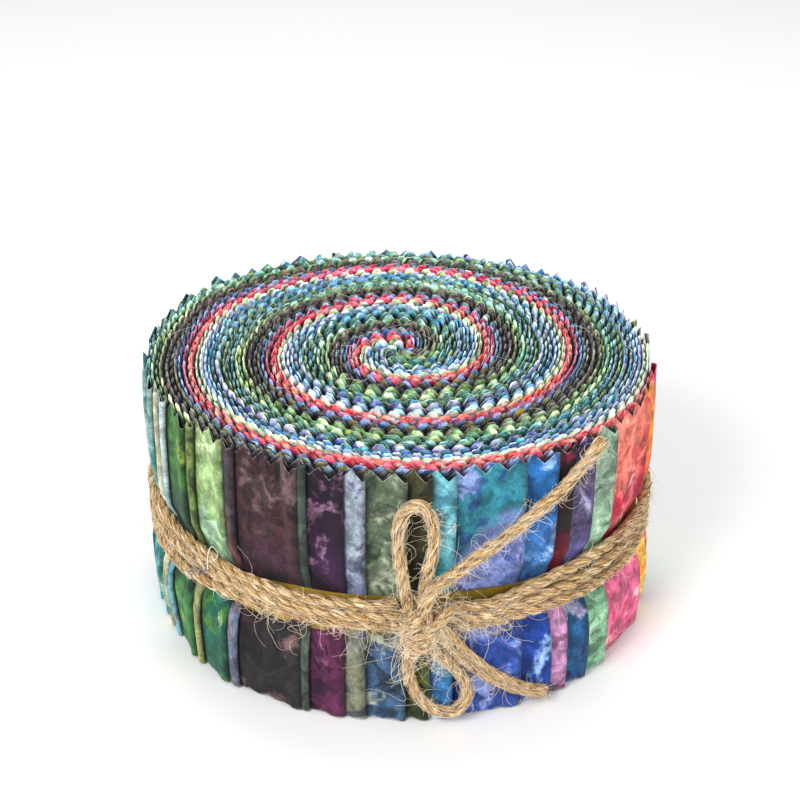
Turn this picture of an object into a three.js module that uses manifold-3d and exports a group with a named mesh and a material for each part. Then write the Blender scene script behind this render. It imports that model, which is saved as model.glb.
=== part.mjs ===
// A roll of pinked cotton strips, each folded in half, wound together and tied with jute twine
import * as THREE from "three";
import { mergeVertices } from "three/addons/utils/BufferGeometryUtils.js";
import Module from "manifold-3d";

const wasm = await Module();
wasm.setup();

// Driving dimensions, in millimetres: the roll stands on Z = 0 and the bow faces -Y
const STRIP_WIDTH = 63.5;
const ROLL_RADIUS = 58.5;
const STRIP_COUNT = 40;
const STACK_PER_TURN = 19.5;
const TOOTH_PITCH = 4.8;
const TOOTH_DEPTH = 2.5;
const FOLD_STEP = 0.5;
const TWINE = 2.8;
const RIBBON = { top: 32.4, width: 10, thickness: 0.5, facets: 60 };
const CLEARANCE = 0.3;

// The wall from the base up: how far it lies inside the rim's radius, less than 0 where it bulges
const WALL_ROWS = [
  { up: 0, inset: 0.2 },
  { up: 3, inset: -0.7 },
  { up: 19.2, inset: -0.6 },
  { up: 22.7, inset: 2 },
  { up: 32.7, inset: 2 },
  { up: 36.2, inset: -0.6 },
  { up: 56, inset: -0.7 },
];

// The strips whose folds show across the front, from the left side round to the right:
// each one is bare for its width, from the fold before it to its own fold
const FIRST_FOLD_DEGREES = -176;
const FRONT_STRIPS = [
  { colour: "pale turquoise", width: 7.1 },
  { colour: "teal", width: 7.5 },
  { colour: "cream", width: 5.6 },
  { colour: "pale teal", width: 3.9 },
  { colour: "forest green", width: 9.7 },
  { colour: "olive", width: 3.2 },
  { colour: "leaf green", width: 9.6 },
  { colour: "purple grey", width: 3.0 },
  { colour: "plum brown", width: 16.3 },
  { colour: "grey green", width: 1.7 },
  { colour: "aubergine", width: 8.1 },
  { colour: "blue grey", width: 4.6 },
  { colour: "sage", width: 8.7 },
  { colour: "dark olive", width: 5.1 },
  { colour: "turquoise", width: 5.0 },
  { colour: "lavender blue", width: 15.8 },
  { colour: "mid blue", width: 7.9 },
  { colour: "burgundy", width: 4.5 },
  { colour: "purple", width: 6.7 },
  { colour: "mint", width: 7.5 },
  { colour: "coral", width: 18.5 },
  { colour: "orange", width: 9.0 },
  { colour: "crimson", width: 6.7 },
];

// The wound top: each turn of the stack is this many spiral lines, by turns a toothed ridge
// and the groove beside it
const LINES_PER_TURN = 6;
const TOP_COLUMNS = 120;
const NUB_DEPTH = 1.3;
const GROOVE_DEPTH = 2.3;
const TURN_DROP = 0.6;
const TOP_CROWN = 0.4;
const RIM_SHELF = 1.3;
const SHELF_GAP = 1.1;
const HEART_RADIUS = 2.4;
// The base's triangles meet here, off its middle, so that the middle lies inside a face
const BASE_APEX = 12;
// Towards the heart the columns thin out, so that the nubs keep about the same size
const COLUMN_STARTS = [
  { every: 4, radius: 0 },
  { every: 2, radius: 10 },
  { every: 1, radius: 22 },
];
// The turns bulge away from the bow, most at the middle of the radius
const BULGE = { degrees: 80, spread: 42, reach: 5.2 };

// Three turns of twine lie on the ribbon and climb one place behind the knot
const WRAP = {
  turns: 3,
  middle: 27.6,
  rise: 3.15,
  out: 59.2,
  startDegrees: -80.5,
  endDegrees: -90,
  climbFrom: -97,
  climbTo: -81,
};
const WRAP_ROPE = { sides: 6, step: 2.6, ply: 3, twistLength: 15.6, ridge: 0.11 };
const BOW_ROPE = { sides: 8, step: 1.2, ply: 2, twistLength: 7.2, ridge: 0.12 };

const KNOT = { degrees: -85, out: 63.4, up: 28, width: 7.4, depth: 5.2, height: 7.6, facets: 14 };
// Two bights cross the knot; their points are measured from its middle: to the right, up and out
const BIGHT_LOW_TO_HIGH = [
  { side: -4.0, rise: -2.6, out: -0.6 },
  { side: -2.8, rise: -2.4, out: 1.6 },
  { side: -0.4, rise: -1.0, out: 2.6 },
  { side: 2.2, rise: 1.2, out: 2.2 },
  { side: 4.0, rise: 2.8, out: 0.4 },
  { side: 4.6, rise: 3.4, out: -1.0 },
];
const BIGHT_HIGH_TO_LOW = [
  { side: -3.6, rise: 2.2, out: -1.0 },
  { side: -2.4, rise: 1.6, out: 1.0 },
  { side: 0.0, rise: -0.2, out: 1.5 },
  { side: 2.6, rise: -2.4, out: 0.6 },
  { side: 3.4, rise: -3.2, out: -1.0 },
];

// The bow's loose parts, point by point: degrees round the roll, distance out from its
// axis and height
const UPPER_LOOP = [
  { degrees: -87.9, out: 62.8, up: 31.8 },
  { degrees: -88.3, out: 62.6, up: 35.1 },
  { degrees: -89.2, out: 61.8, up: 39.8 },
  { degrees: -89.9, out: 61.3, up: 44.6 },
  { degrees: -90.1, out: 61.2, up: 48.2 },
  { degrees: -89.7, out: 61.1, up: 52.4 },
  { degrees: -88.5, out: 61.1, up: 55.1 },
  { degrees: -87.0, out: 61.1, up: 56.2 },
  { degrees: -85.3, out: 61.1, up: 55.8 },
  { degrees: -83.9, out: 61.1, up: 53.7 },
  { degrees: -83.1, out: 61.1, up: 50.3 },
  { degrees: -83.1, out: 61.2, up: 46.1 },
  { degrees: -83.8, out: 61.4, up: 41.9 },
  { degrees: -84.4, out: 61.9, up: 39.0 },
  { degrees: -84.9, out: 62.5, up: 35.8 },
  { degrees: -85.0, out: 62.7, up: 32.4 },
];
const UPPER_TAIL = [
  { degrees: -85.6, out: 65.4, up: 31.8 },
  { degrees: -85.2, out: 65.8, up: 34.0 },
  { degrees: -84.5, out: 66.0, up: 36.6 },
  { degrees: -83.4, out: 65.8, up: 38.6 },
  { degrees: -81.8, out: 65.0, up: 39.7 },
  { degrees: -79.8, out: 63.8, up: 40.4 },
  { degrees: -77.3, out: 62.7, up: 41.5 },
  { degrees: -73.1, out: 61.8, up: 43.8 },
  { degrees: -69.6, out: 61.4, up: 45.8 },
  { degrees: -65.7, out: 61.2, up: 48.1 },
  { degrees: -60.5, out: 61.1, up: 51.4 },
  { degrees: -55.8, out: 61.1, up: 54.3 },
  { degrees: -50.6, out: 61.1, up: 58.2 },
  { degrees: -44.6, out: 61.2, up: 62.6 },
];
const LOWER_LOOP = [
  { degrees: -87.3, out: 63.0, up: 25.6 },
  { degrees: -87.7, out: 62.7, up: 21.2 },
  { degrees: -87.9, out: 61.8, up: 16.9 },
  { degrees: -87.4, out: 61.3, up: 12.6 },
  { degrees: -85.3, out: 61.1, up: 7.6 },
  { degrees: -83.4, out: 61.1, up: 5.5 },
  { degrees: -81.4, out: 61.1, up: 4.0 },
  { degrees: -78.2, out: 61.1, up: 3.5 },
  { degrees: -75.8, out: 61.1, up: 6.1 },
  { degrees: -75.7, out: 61.2, up: 9.6 },
  { degrees: -77.4, out: 61.4, up: 13.8 },
  { degrees: -80.5, out: 62.1, up: 18.2 },
  { degrees: -82.8, out: 62.7, up: 21.4 },
  { degrees: -84.2, out: 63.0, up: 24.8 },
];
const LOWER_TAIL = [
  { degrees: -82.6, out: 63.7, up: 28.0 },
  { degrees: -81.0, out: 64.0, up: 26.0 },
  { degrees: -79.4, out: 63.7, up: 23.4 },
  { degrees: -76.9, out: 63.0, up: 19.3 },
  { degrees: -73.0, out: 61.8, up: 14.3 },
  { degrees: -68.4, out: 61.2, up: 9.8 },
  { degrees: -62.6, out: 61.1, up: 5.4 },
  { degrees: -57.0, out: 61.1, up: 2.6 },
];

const WELD = 1e-5;
const TURN = Math.PI * 2;
const radians = THREE.MathUtils.degToRad;

const MATERIALS = {
  fabric: new THREE.MeshStandardMaterial({ color: 0x3f7f86, roughness: 0.9, metalness: 0 }),
  ribbon: new THREE.MeshStandardMaterial({ color: 0x8c6f1e, roughness: 0.6, metalness: 0 }),
  twine: new THREE.MeshStandardMaterial({ color: 0xb98f5a, roughness: 0.95, metalness: 0 }),
};

// Shared shape helpers

function polar(angle, out, up) {
  return new THREE.Vector3(out * Math.cos(angle), out * Math.sin(angle), up);
}

function geometryFrom(points, triangles) {
  const geometry = new THREE.BufferGeometry();
  geometry.setAttribute(
    "position",
    new THREE.Float32BufferAttribute(points.flatMap((p) => [p.x, p.y, p.z]), 3),
  );
  geometry.setIndex(triangles.flat());
  geometry.computeVertexNormals();
  return geometry;
}

function meshNamed(name, geometry, material) {
  const mesh = new THREE.Mesh(geometry, material);
  mesh.name = name;
  return mesh;
}

function toManifold(geometry) {
  const bare = geometry.clone();
  bare.deleteAttribute("normal");
  bare.deleteAttribute("uv");
  const merged = mergeVertices(bare, WELD);
  const mesh = new wasm.Mesh({
    numProp: 3,
    vertProperties: new Float32Array(merged.attributes.position.array),
    triVerts: new Uint32Array(merged.index.array),
  });
  return new wasm.Manifold(mesh);
}

function fromManifold(solid) {
  const mesh = solid.getMesh();
  const geometry = new THREE.BufferGeometry();
  geometry.setAttribute("position", new THREE.BufferAttribute(mesh.vertProperties, 3));
  geometry.setIndex(new THREE.BufferAttribute(mesh.triVerts, 1));
  geometry.computeVertexNormals();
  return geometry;
}

// A closed rope: its plies are raised as ridges that turn round it as it runs
function rope(curve, { sides, step, ply, twistLength, ridge }, radius = TWINE / 2) {
  const length = curve.getLength();
  const steps = Math.round(length / step);
  const frames = curve.computeFrenetFrames(steps, false);
  const points = [];
  const triangles = [];
  for (let i = 0; i <= steps; i += 1) {
    const middle = curve.getPointAt(i / steps);
    const twist = (TURN * length * i) / (steps * twistLength);
    for (let k = 0; k < sides; k += 1) {
      const angle = (TURN * k) / sides;
      const size = radius * (1 - ridge + ridge * Math.cos(ply * (angle - twist)));
      points.push(
        middle
          .clone()
          .addScaledVector(frames.normals[i], size * Math.cos(angle))
          .addScaledVector(frames.binormals[i], size * Math.sin(angle)),
      );
    }
  }
  for (let i = 0; i < steps; i += 1) {
    for (let k = 0; k < sides; k += 1) {
      const a = i * sides + k;
      const b = i * sides + ((k + 1) % sides);
      triangles.push([a, b, b + sides], [a, b + sides, a + sides]);
    }
  }
  const last = steps * sides;
  for (let k = 1; k < sides - 1; k += 1) {
    triangles.push([0, k + 1, k], [last, last + k, last + k + 1]);
  }
  return geometryFrom(points, triangles);
}

// The fabric roll

// Columns round the rim: a strip rises evenly towards its own fold, then drops by FOLD_STEP,
// and its pinked edge has a whole number of teeth
function rimColumns() {
  const shown = FRONT_STRIPS.reduce((sum, strip) => sum + strip.width, 0);
  const hidden = STRIP_COUNT - FRONT_STRIPS.length;
  const hiddenWidth = (TURN * ROLL_RADIUS - shown) / hidden;
  const widths = FRONT_STRIPS.map((strip) => strip.width).concat(Array(hidden).fill(hiddenWidth));
  const edge = FOLD_STEP / ROLL_RADIUS / 2;
  const columns = [];
  let start = radians(FIRST_FOLD_DEGREES);
  for (const width of widths) {
    const span = width / ROLL_RADIUS;
    const halves = 2 * Math.max(1, Math.round(width / TOOTH_PITCH));
    for (let c = 0; c <= halves; c += 1) {
      columns.push({
        angle: start + edge + ((span - 2 * edge) * c) / halves,
        radius: ROLL_RADIUS - FOLD_STEP * (1 - c / halves),
        tooth: c % 2,
      });
    }
    start += span;
  }
  return columns;
}

function bulgedRadius(radius, angle) {
  const away = Math.atan2(
    Math.sin(angle - radians(BULGE.degrees)),
    Math.cos(angle - radians(BULGE.degrees)),
  );
  const round = Math.exp(-((away / radians(BULGE.spread)) ** 2));
  return radius + BULGE.reach * round * Math.sin((Math.PI * radius) / ROLL_RADIUS);
}

// One column of the top, from the heart outwards: its points lie on the spiral lines
function topColumn(index) {
  const share = index / TOP_COLUMNS;
  const angle = radians(FIRST_FOLD_DEGREES) + TURN * share;
  const pitch = STACK_PER_TURN / LINES_PER_TURN;
  const limit = ROLL_RADIUS - FOLD_STEP - RIM_SHELF - SHELF_GAP;
  const innermost = COLUMN_STARTS.find((row) => index % row.every === 0).radius;
  const column = [];
  for (let line = -LINES_PER_TURN; ; line += 1) {
    const wound = pitch * (line + LINES_PER_TURN * share);
    const radius = bulgedRadius(wound, angle);
    if (radius > limit) break;
    if (wound < Math.max(innermost, HEART_RADIUS)) continue;
    const stride = COLUMN_STARTS.findLast((row) => wound >= row.radius).every;
    const between = (Math.floor(index / stride) + line / 2) % 2 !== 0;
    const ridge = (between ? NUB_DEPTH : 0) + (line % LINES_PER_TURN === 0 ? TURN_DROP : 0);
    const dip = line % 2 === 0 ? ridge : GROOVE_DEPTH;
    const crown = TOP_CROWN * (1 - (radius / ROLL_RADIUS) ** 2);
    column.push({ radius, point: polar(angle, radius, STRIP_WIDTH - CLEARANCE + crown - dip) });
  }
  return column;
}

// Triangles between two neighbouring columns of the top, from the heart outwards
function zipColumns(near, far) {
  const triangles = [];
  let a = 0;
  let b = 0;
  while (a + 1 < near.length || b + 1 < far.length) {
    const nearNext = a + 1 < near.length ? near[a + 1].radius : Infinity;
    const farNext = b + 1 < far.length ? far[b + 1].radius : Infinity;
    if (nearNext <= farNext) {
      triangles.push([near[a].id, near[a + 1].id, far[b].id]);
      a += 1;
    } else {
      triangles.push([near[a].id, far[b + 1].id, far[b].id]);
      b += 1;
    }
  }
  return triangles;
}

// The same between two closed chains of points, one inside the other, round by angle
function zipChains(inside, outside) {
  const closed = (chain) => [...chain, { id: chain[0].id, angle: chain[0].angle + TURN }];
  const inner = closed(inside);
  const outer = closed(outside);
  const triangles = [];
  let a = 0;
  let b = 0;
  while (a + 1 < inner.length || b + 1 < outer.length) {
    const innerNext = a + 1 < inner.length ? inner[a + 1].angle : Infinity;
    const outerNext = b + 1 < outer.length ? outer[b + 1].angle : Infinity;
    if (innerNext <= outerNext) {
      triangles.push([inner[a].id, outer[b].id, inner[a + 1].id]);
      a += 1;
    } else {
      triangles.push([inner[a].id, outer[b].id, outer[b + 1].id]);
      b += 1;
    }
  }
  return triangles;
}

// Joins columns left and left + stride of the top; where a column between them starts further
// out, its first point splits their gap and each half is joined in the same way
function joinColumns(top, left, stride, near, far) {
  if (stride === 1) return zipColumns(near, far);
  const half = stride / 2;
  const middle = top[left + half];
  const inner = (list) => list.filter((p, k) => k === 0 || p.radius < middle[0].radius);
  const nearInner = inner(near);
  const farInner = inner(far);
  return [
    ...zipColumns(nearInner, farInner),
    [nearInner.at(-1).id, middle[0].id, farInner.at(-1).id],
    ...joinColumns(top, left, half, near.slice(nearInner.length - 1), middle),
    ...joinColumns(top, left + half, half, middle, far.slice(farInner.length - 1)),
  ];
}

function fabricRoll() {
  const points = [];
  const triangles = [];
  const add = (point) => points.push(point) - 1;
  const columns = rimColumns();
  const count = columns.length;

  // The wall, its pinked rim and the shelf behind the teeth
  const valley = STRIP_WIDTH - TOOTH_DEPTH;
  const ring = (place) => columns.map((column) => add(place(column)));
  const rings = [
    ...WALL_ROWS.map((row) => ring((c) => polar(c.angle, c.radius - row.inset, row.up))),
    ring((c) => polar(c.angle, c.radius, valley + TOOTH_DEPTH * c.tooth)),
    ring((c) => polar(c.angle, c.radius - RIM_SHELF, valley)),
  ];
  const base = add(new THREE.Vector3(0, BASE_APEX, 0));
  for (let c = 0; c < count; c += 1) {
    const d = (c + 1) % count;
    triangles.push([base, rings[0][d], rings[0][c]]);
    for (let r = 0; r + 1 < rings.length; r += 1) {
      const [lower, upper] = [rings[r], rings[r + 1]];
      triangles.push([lower[c], lower[d], upper[d]], [lower[c], upper[d], upper[c]]);
    }
  }

  // The wound top
  const top = [];
  for (let i = 0; i < TOP_COLUMNS; i += 1) {
    top.push(topColumn(i).map((place) => ({ radius: place.radius, id: add(place.point) })));
  }
  const heart = add(new THREE.Vector3(0, 0, STRIP_WIDTH - GROOVE_DEPTH));
  const widest = COLUMN_STARTS[0].every;
  for (let i = 0; i < TOP_COLUMNS; i += widest) {
    const near = top[i];
    const far = top[(i + widest) % TOP_COLUMNS];
    triangles.push([heart, near[0].id, far[0].id], ...joinColumns(top, i, widest, near, far));
  }
  const edge = top.map((column, i) => ({
    id: column.at(-1).id,
    angle: radians(FIRST_FOLD_DEGREES) + (TURN * i) / TOP_COLUMNS,
  }));
  const shelf = rings.at(-1).map((id, c) => ({ id, angle: columns[c].angle }));
  triangles.push(...zipChains(edge, shelf));
  return geometryFrom(points, triangles);
}

// The ribbon round the waist, under the twine
function ribbonRing() {
  const trough = WALL_ROWS[3];
  const shoulder = WALL_ROWS[5];
  const inner = ROLL_RADIUS - trough.inset + CLEARANCE;
  const slope = (trough.inset - shoulder.inset) / (shoulder.up - WALL_ROWS[4].up);
  const flare = inner + slope * (RIBBON.top - WALL_ROWS[4].up);
  const profile = [
    new THREE.Vector2(inner, RIBBON.top - RIBBON.width),
    new THREE.Vector2(inner + RIBBON.thickness, RIBBON.top - RIBBON.width),
    new THREE.Vector2(inner + RIBBON.thickness, WALL_ROWS[4].up),
    new THREE.Vector2(flare + RIBBON.thickness, RIBBON.top),
    new THREE.Vector2(flare, RIBBON.top),
    new THREE.Vector2(inner, WALL_ROWS[4].up),
  ];
  profile.push(profile[0].clone());
  const geometry = new THREE.LatheGeometry(profile, RIBBON.facets);
  geometry.rotateX(Math.PI / 2);
  return geometry;
}

// The twine's route round the waist: level turns, each one place higher than the last
class WrapCurve extends THREE.Curve {
  getPoint(t, target = new THREE.Vector3()) {
    const whole = 360 * WRAP.turns + WRAP.endDegrees - WRAP.startDegrees;
    const degrees = WRAP.startDegrees + whole * t;
    const turned = Math.floor((degrees - WRAP.climbFrom) / 360);
    const within = degrees - WRAP.climbFrom - 360 * turned;
    const climb = THREE.MathUtils.smoothstep(within, 0, WRAP.climbTo - WRAP.climbFrom);
    const lowest = WRAP.middle - (WRAP.rise * (WRAP.turns - 1)) / 2;
    return target.copy(polar(radians(degrees), WRAP.out, lowest + WRAP.rise * (turned - 1 + climb)));
  }
}

function routeCurve(route) {
  return new THREE.CatmullRomCurve3(
    route.map((place) => polar(radians(place.degrees), place.out, place.up)),
    false,
    "centripetal",
  );
}

// The knot: a tight lump crossed by two bights, hollowed where the bow's ends enter it
function knotSolid(bowCurves) {
  const across = (dx, dz, out) =>
    polar(radians(KNOT.degrees) + dx / KNOT.out, KNOT.out + out, KNOT.up + dz);
  const lump = new THREE.SphereGeometry(0.5, KNOT.facets, KNOT.facets);
  lump.scale(KNOT.depth, KNOT.width, KNOT.height);
  lump.rotateZ(radians(KNOT.degrees));
  lump.translate(...across(0, 0, 0).toArray());

  const bight = (route) => {
    const curve = new THREE.CatmullRomCurve3(route.map((p) => across(p.side, p.rise, p.out)));
    return toManifold(rope(curve, BOW_ROPE));
  };
  const wrapFace = WRAP.out + TWINE / 2 + CLEARANCE;
  const wraps = new THREE.CylinderGeometry(wrapFace, wrapFace, STRIP_WIDTH * 2, TOP_COLUMNS);
  wraps.rotateX(Math.PI / 2);
  let solid = toManifold(lump)
    .add(bight(BIGHT_LOW_TO_HIGH))
    .add(bight(BIGHT_HIGH_TO_LOW))
    .subtract(toManifold(wraps));
  for (const curve of bowCurves) {
    const sleeve = rope(curve, { ...BOW_ROPE, ridge: 0 }, TWINE / 2 + CLEARANCE);
    solid = solid.subtract(toManifold(sleeve));
  }
  const largest = solid.decompose().sort((p, q) => q.volume() - p.volume())[0];
  return fromManifold(largest);
}

const bow = {
  bow_loop_upper: routeCurve(UPPER_LOOP),
  bow_loop_lower: routeCurve(LOWER_LOOP),
  tail_upper: routeCurve(UPPER_TAIL),
  tail_lower: routeCurve(LOWER_TAIL),
};

const group = new THREE.Group();
group.name = "fabric_strip_roll";
group.add(meshNamed("fabric_roll", fabricRoll(), MATERIALS.fabric));
group.add(meshNamed("retaining_ribbon", ribbonRing(), MATERIALS.ribbon));
group.add(meshNamed("twine_wraps", rope(new WrapCurve(), WRAP_ROPE), MATERIALS.twine));
group.add(meshNamed("knot", knotSolid(Object.values(bow)), MATERIALS.twine));
for (const [name, curve] of Object.entries(bow)) {
  group.add(meshNamed(name, rope(curve, BOW_ROPE), MATERIALS.twine));
}

export default group;
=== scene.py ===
"""The looks of a roll of pinked cotton strips, tied with jute twine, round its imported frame.

Sizes are in millimetres and angles in degrees, counter-clockwise from +X as seen from above;
mesh_piece turns them into metres. The bow faces -Y, and the roll stands on Z = 0.
"""

import math
from collections import namedtuple

import bpy
import numpy as np
from mathutils import Matrix, Vector


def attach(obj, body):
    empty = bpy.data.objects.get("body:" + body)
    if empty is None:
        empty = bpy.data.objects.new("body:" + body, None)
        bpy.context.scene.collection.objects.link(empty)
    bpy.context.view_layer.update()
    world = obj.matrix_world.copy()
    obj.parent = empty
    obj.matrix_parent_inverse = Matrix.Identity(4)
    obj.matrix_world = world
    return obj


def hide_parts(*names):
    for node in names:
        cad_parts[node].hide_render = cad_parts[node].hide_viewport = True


MM = 0.001


def table(kind, *rows):
    """A table's rows with their columns named."""
    return [kind(*row) for row in rows]


# The roll: its strips, their teeth, and the fold of each strip, which swells at the wall
STRIP_WIDTH = 63.5
ROLL_RADIUS = 58.5
STACK_PER_TURN = 19.5
TOOTH_PITCH = 4.8
GATHERED_PITCH = 4.2
TOOTH_DEPTH = 2.5
FOOT_DEPTH = 0.7
FIRST_FOLD = -176.0
HEART_RADIUS = 1.3
CLOTH = 0.155
FOLD_PUFF = 1.05
FOLD_PUFF_REACH = 3.0
FOLD_POINTS = 7
TOP_BELOW = 0.3
FOOT_ABOVE = 0.15
FOOT_LEAST = 0.05
CROWN_DEPTH = 1.2
LEAN_DEPTH = 2.0

# Neighbouring strips stick together in bundles. In a bundle each layer's teeth lie a little
# further round than the last's and lean towards its middle; the next bundle's teeth are shifted.
# Deeper than SHARP_DEPTH the tips are worn round, and gathered closer than they were cut
BUNDLES = (2, 2, 2, 2, 3, 2, 2, 2, 2, 4, 2, 2, 2, 2, 2, 3, 2, 2)
TOOTH_LEAN = 0.05
TIP_GATHER = 0.5
TIP_LEAN = 0.3
TIP_DROP = 0.35
BUNDLE_CROWN = 0.38
BUNDLE_SHIFT = 0.38
TIP_ROUND = 1.25
SHARP_DEPTH = 1.0
GATHERED_DEPTHS = (1.0, 3.0)
USUAL_BUNDLE = 2.2

# How far round the strips are wound, and how finely the turns are measured
TURNS_WOUND = 3.4
SPIRAL_POINTS = 9000
BUNDLE_POINTS = 12000
BUNDLE_BEYOND = 60.0

# The strips' random unevenness, and how the waist and the floor press on them
STRIPS_SEED = 40
SHIFT_SPREAD = 0.08
PHASE_SPREAD = 0.05
FOLDED_SPREAD = 0.04
LIFT_SPREAD = 0.2
LIFT_MOST = 0.35
WAIST_FLATTENS = 0.85
FOOT_DRAWN_IN = 0.2

# The wall's height and how far it lies inside the rim's radius, less than 0 where it bulges
WAIST_HEIGHTS = (0.0, 3.0, 9.0, 15.0, 19.5, 22.7, 27.6, 32.4, 36.2, 44.0, 52.0, 58.0, 64.0)
WAIST_INSETS = (-0.4, -0.5, -0.7, -0.6, 0.2, 1.7, 2.0, 1.8, 0.3, -0.2, -0.3, -0.2, 0.0)
WAIST_MOST = 2.0
WAIST_DEPTH = 3.7

# Near the floor the wall leans out a little more on the right, and less on the left
FLOOR_LEAN_RISE = 8.0
FloorLean = namedtuple("FloorLean", "degrees spread up reach")
FLOOR_LEANS = [
    FloorLean(-5.0, 45.0, 8.0, 0.7),
    FloorLean(-158.0, 16.0, 2.0, -1.2),
]

# The turns bulge away from the bow, most at the middle of the radius
BULGE_AT = 80.0
BULGE_SPREAD = 42.0
BULGE_REACH = 5.2
ROUNDING_DEPTH = 22.0

# The back stands out a little at these places
Corner = namedtuple("Corner", "degrees spread reach")
CORNERS = [
    Corner(146.0, 20.0, 2.8),
    Corner(112.0, 22.0, 1.2),
    Corner(80.0, 24.0, 1.4),
    Corner(37.0, 24.0, 1.7),
]

# Two soft upright creases in the wide plum-brown strip, from half way up
CREASE_AT = -118.0
CREASE_WIDE = 5.0
CREASE_SPREAD = 4.5
CREASE_REACH = 0.8
CREASE_MIDDLE = 1.5
CREASE_FROM = 33.0
CREASE_LEVEL = 58.0
CREASE_LEAN = 14.0
CREASE_RISE = 20.0

# How deep under the wall a strip still shows
SKIN = 1.5

# Slow waves of the wall, and its gathers above and below the twine: how far they reach, how
# many there are round, the height over which they turn, and how unevenly they lie
Wave = namedtuple("Wave", "reach count climb bend bends")
WALL_WAVES = [
    Wave(0.20, 5, 16.0, 0.0, 0),
    Wave(0.13, 13, -11.0, 0.0, 0),
    Wave(0.08, 31, 5.0, 2.0, 3),
]
GATHERS = Wave(0.22, 47, math.inf, 1.6, 7)
Gathered = namedtuple("Gathered", "up spread")
GATHERED_AT = [Gathered(37.5, 4.5), Gathered(18.5, 4.0)]
WAVE_DEPTH = 6.0

# Points along a layer, besides those at its teeth: at shares of a tooth within a radius, after
# the place where it becomes bare, before its fold, and evenly between those
HEART_MARKS = [(0.25, 22.0), (0.125, 8.0)]
BARE_MARKS = np.array([-0.4, 0.0, 0.25, 0.6, 1.0, 1.5, 2.2])
FOLD_MARKS = np.array([4.0, 3.2, 2.5, 1.9, 1.3, 0.8, 0.4, 0.15])
INNER_MARKS = np.array([2.4, 1.2, 0.5, 0.15])
EVEN_FROM = 3.2
EVEN_EACH = 1.2
MARKS_APART = 0.14
NUB_CORNERS = (0.34, 0.66)

# The shade beside a lap, and on the fold
LAP_SHADE_REACH = 0.9
LAP_SHADE_BEFORE = 1.5
FOLD_SHADE = 0.4
FOLD_SHADE_REACH = 0.5

# Rows of points up a strip: all of them where it may show, the top one elsewhere
ROWS_FULL = (3.6, 8.0, 14.0, 18.5, 21.5, 24.5, 27.5, 30.5, 33.5, 36.5, 41.0, 47.0, 53.0, 58.2)
ROWS_FEW = (ROWS_FULL[-1],)

# The ribbon
RIBBON_TOP = 32.4
RIBBON_WIDTH = 10.0
RIBBON_THICKNESS = 0.5
RIBBON_INSIDE = 56.8
RIBBON_POINTS_ROUND = 240
RIBBON_ROWS = 9
RIBBON_LIP = 1.6
RIBBON_FLARE = 0.25
# How much lower than its top it runs, by the degrees round
RIBBON_DEGREES = (0.0, 180.0, 225.0, 237.0, 247.0, 262.0, 280.0, 288.0, 297.0, 360.0)
RIBBON_SUNK = (1.3, 1.3, 2.4, 2.1, 1.4, 1.1, 0.5, 0.6, 1.3, 1.3)

# The twine and its bow, as the frame has them
WRAP_TURNS = 3
WRAP_OUT = 59.2
WRAP_START = -80.5
WRAP_END = -90.0
CLIMB_FROM = -97.0
CLIMB_TO = -81.0

# How high each of the three turns runs, from the knot round to the knot again
Turns = namedtuple("Turns", "degrees low middle high")
WRAP_HEIGHTS = table(
    Turns,
    (-85, 24.6, 27.2, 29.9), (-70, 24.5, 26.6, 28.7), (-63, 24.5, 27.3, 30.2),
    (-56, 24.5, 28.0, 31.5), (-45, 24.1, 28.1, 32.0), (-20, 24.0, 27.9, 31.5),
    (20, 24.1, 27.8, 31.3), (90, 24.3, 27.6, 31.0), (180, 23.8, 28.0, 32.2),
    (200, 23.6, 28.1, 32.5), (215, 24.0, 28.2, 32.2), (232, 25.0, 27.9, 30.9),
    (247, 25.7, 27.9, 30.1), (259, 25.3, 27.7, 30.1), (275, 24.6, 27.2, 29.9),
)

# The routes of the bow's loops and tails, each from the knot out
Place = namedtuple("Place", "degrees out up")
UPPER_LOOP = table(
    Place,
    (-87.9, 62.8, 31.8), (-88.3, 62.6, 35.1), (-89.2, 61.8, 39.8), (-89.9, 61.3, 44.6),
    (-90.1, 61.2, 48.2), (-89.7, 61.1, 52.4), (-88.5, 61.1, 55.1), (-87.0, 61.1, 56.2),
    (-85.3, 61.1, 55.8), (-83.9, 61.1, 53.7), (-83.1, 61.1, 50.3), (-83.1, 61.2, 46.1),
    (-83.8, 61.4, 41.9), (-84.4, 61.9, 39.0), (-84.9, 62.5, 35.8), (-85.0, 62.7, 32.4),
)
UPPER_TAIL = table(
    Place,
    (-85.6, 65.4, 31.8), (-85.2, 65.8, 34.0), (-84.5, 66.0, 36.6), (-83.4, 65.8, 38.6),
    (-81.8, 65.0, 39.7), (-79.8, 63.8, 40.4), (-77.3, 62.7, 41.5), (-73.1, 61.8, 43.8),
    (-69.6, 61.4, 45.8), (-65.7, 61.2, 48.1), (-60.5, 61.1, 51.4), (-55.8, 61.1, 54.3),
    (-50.6, 61.1, 58.2), (-44.6, 61.2, 62.6),
)
LOWER_LOOP = table(
    Place,
    (-87.3, 63.0, 25.6), (-87.7, 62.7, 21.2), (-87.9, 61.8, 16.9), (-87.4, 61.3, 12.6),
    (-85.3, 61.1, 7.6), (-83.4, 61.1, 5.5), (-81.4, 61.1, 4.0), (-78.2, 61.1, 3.5),
    (-75.8, 61.1, 6.1), (-75.7, 61.2, 9.6), (-77.4, 61.4, 13.8), (-80.5, 62.1, 18.2),
    (-82.8, 62.7, 21.4), (-84.2, 63.0, 24.8),
)
LOWER_TAIL = table(
    Place,
    (-82.6, 63.7, 28.0), (-81.0, 64.0, 26.0), (-79.4, 63.7, 23.4), (-76.9, 63.0, 19.3),
    (-73.0, 61.8, 14.3), (-68.4, 61.2, 9.8), (-62.6, 61.1, 5.4), (-57.0, 61.1, 2.6),
)

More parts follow.
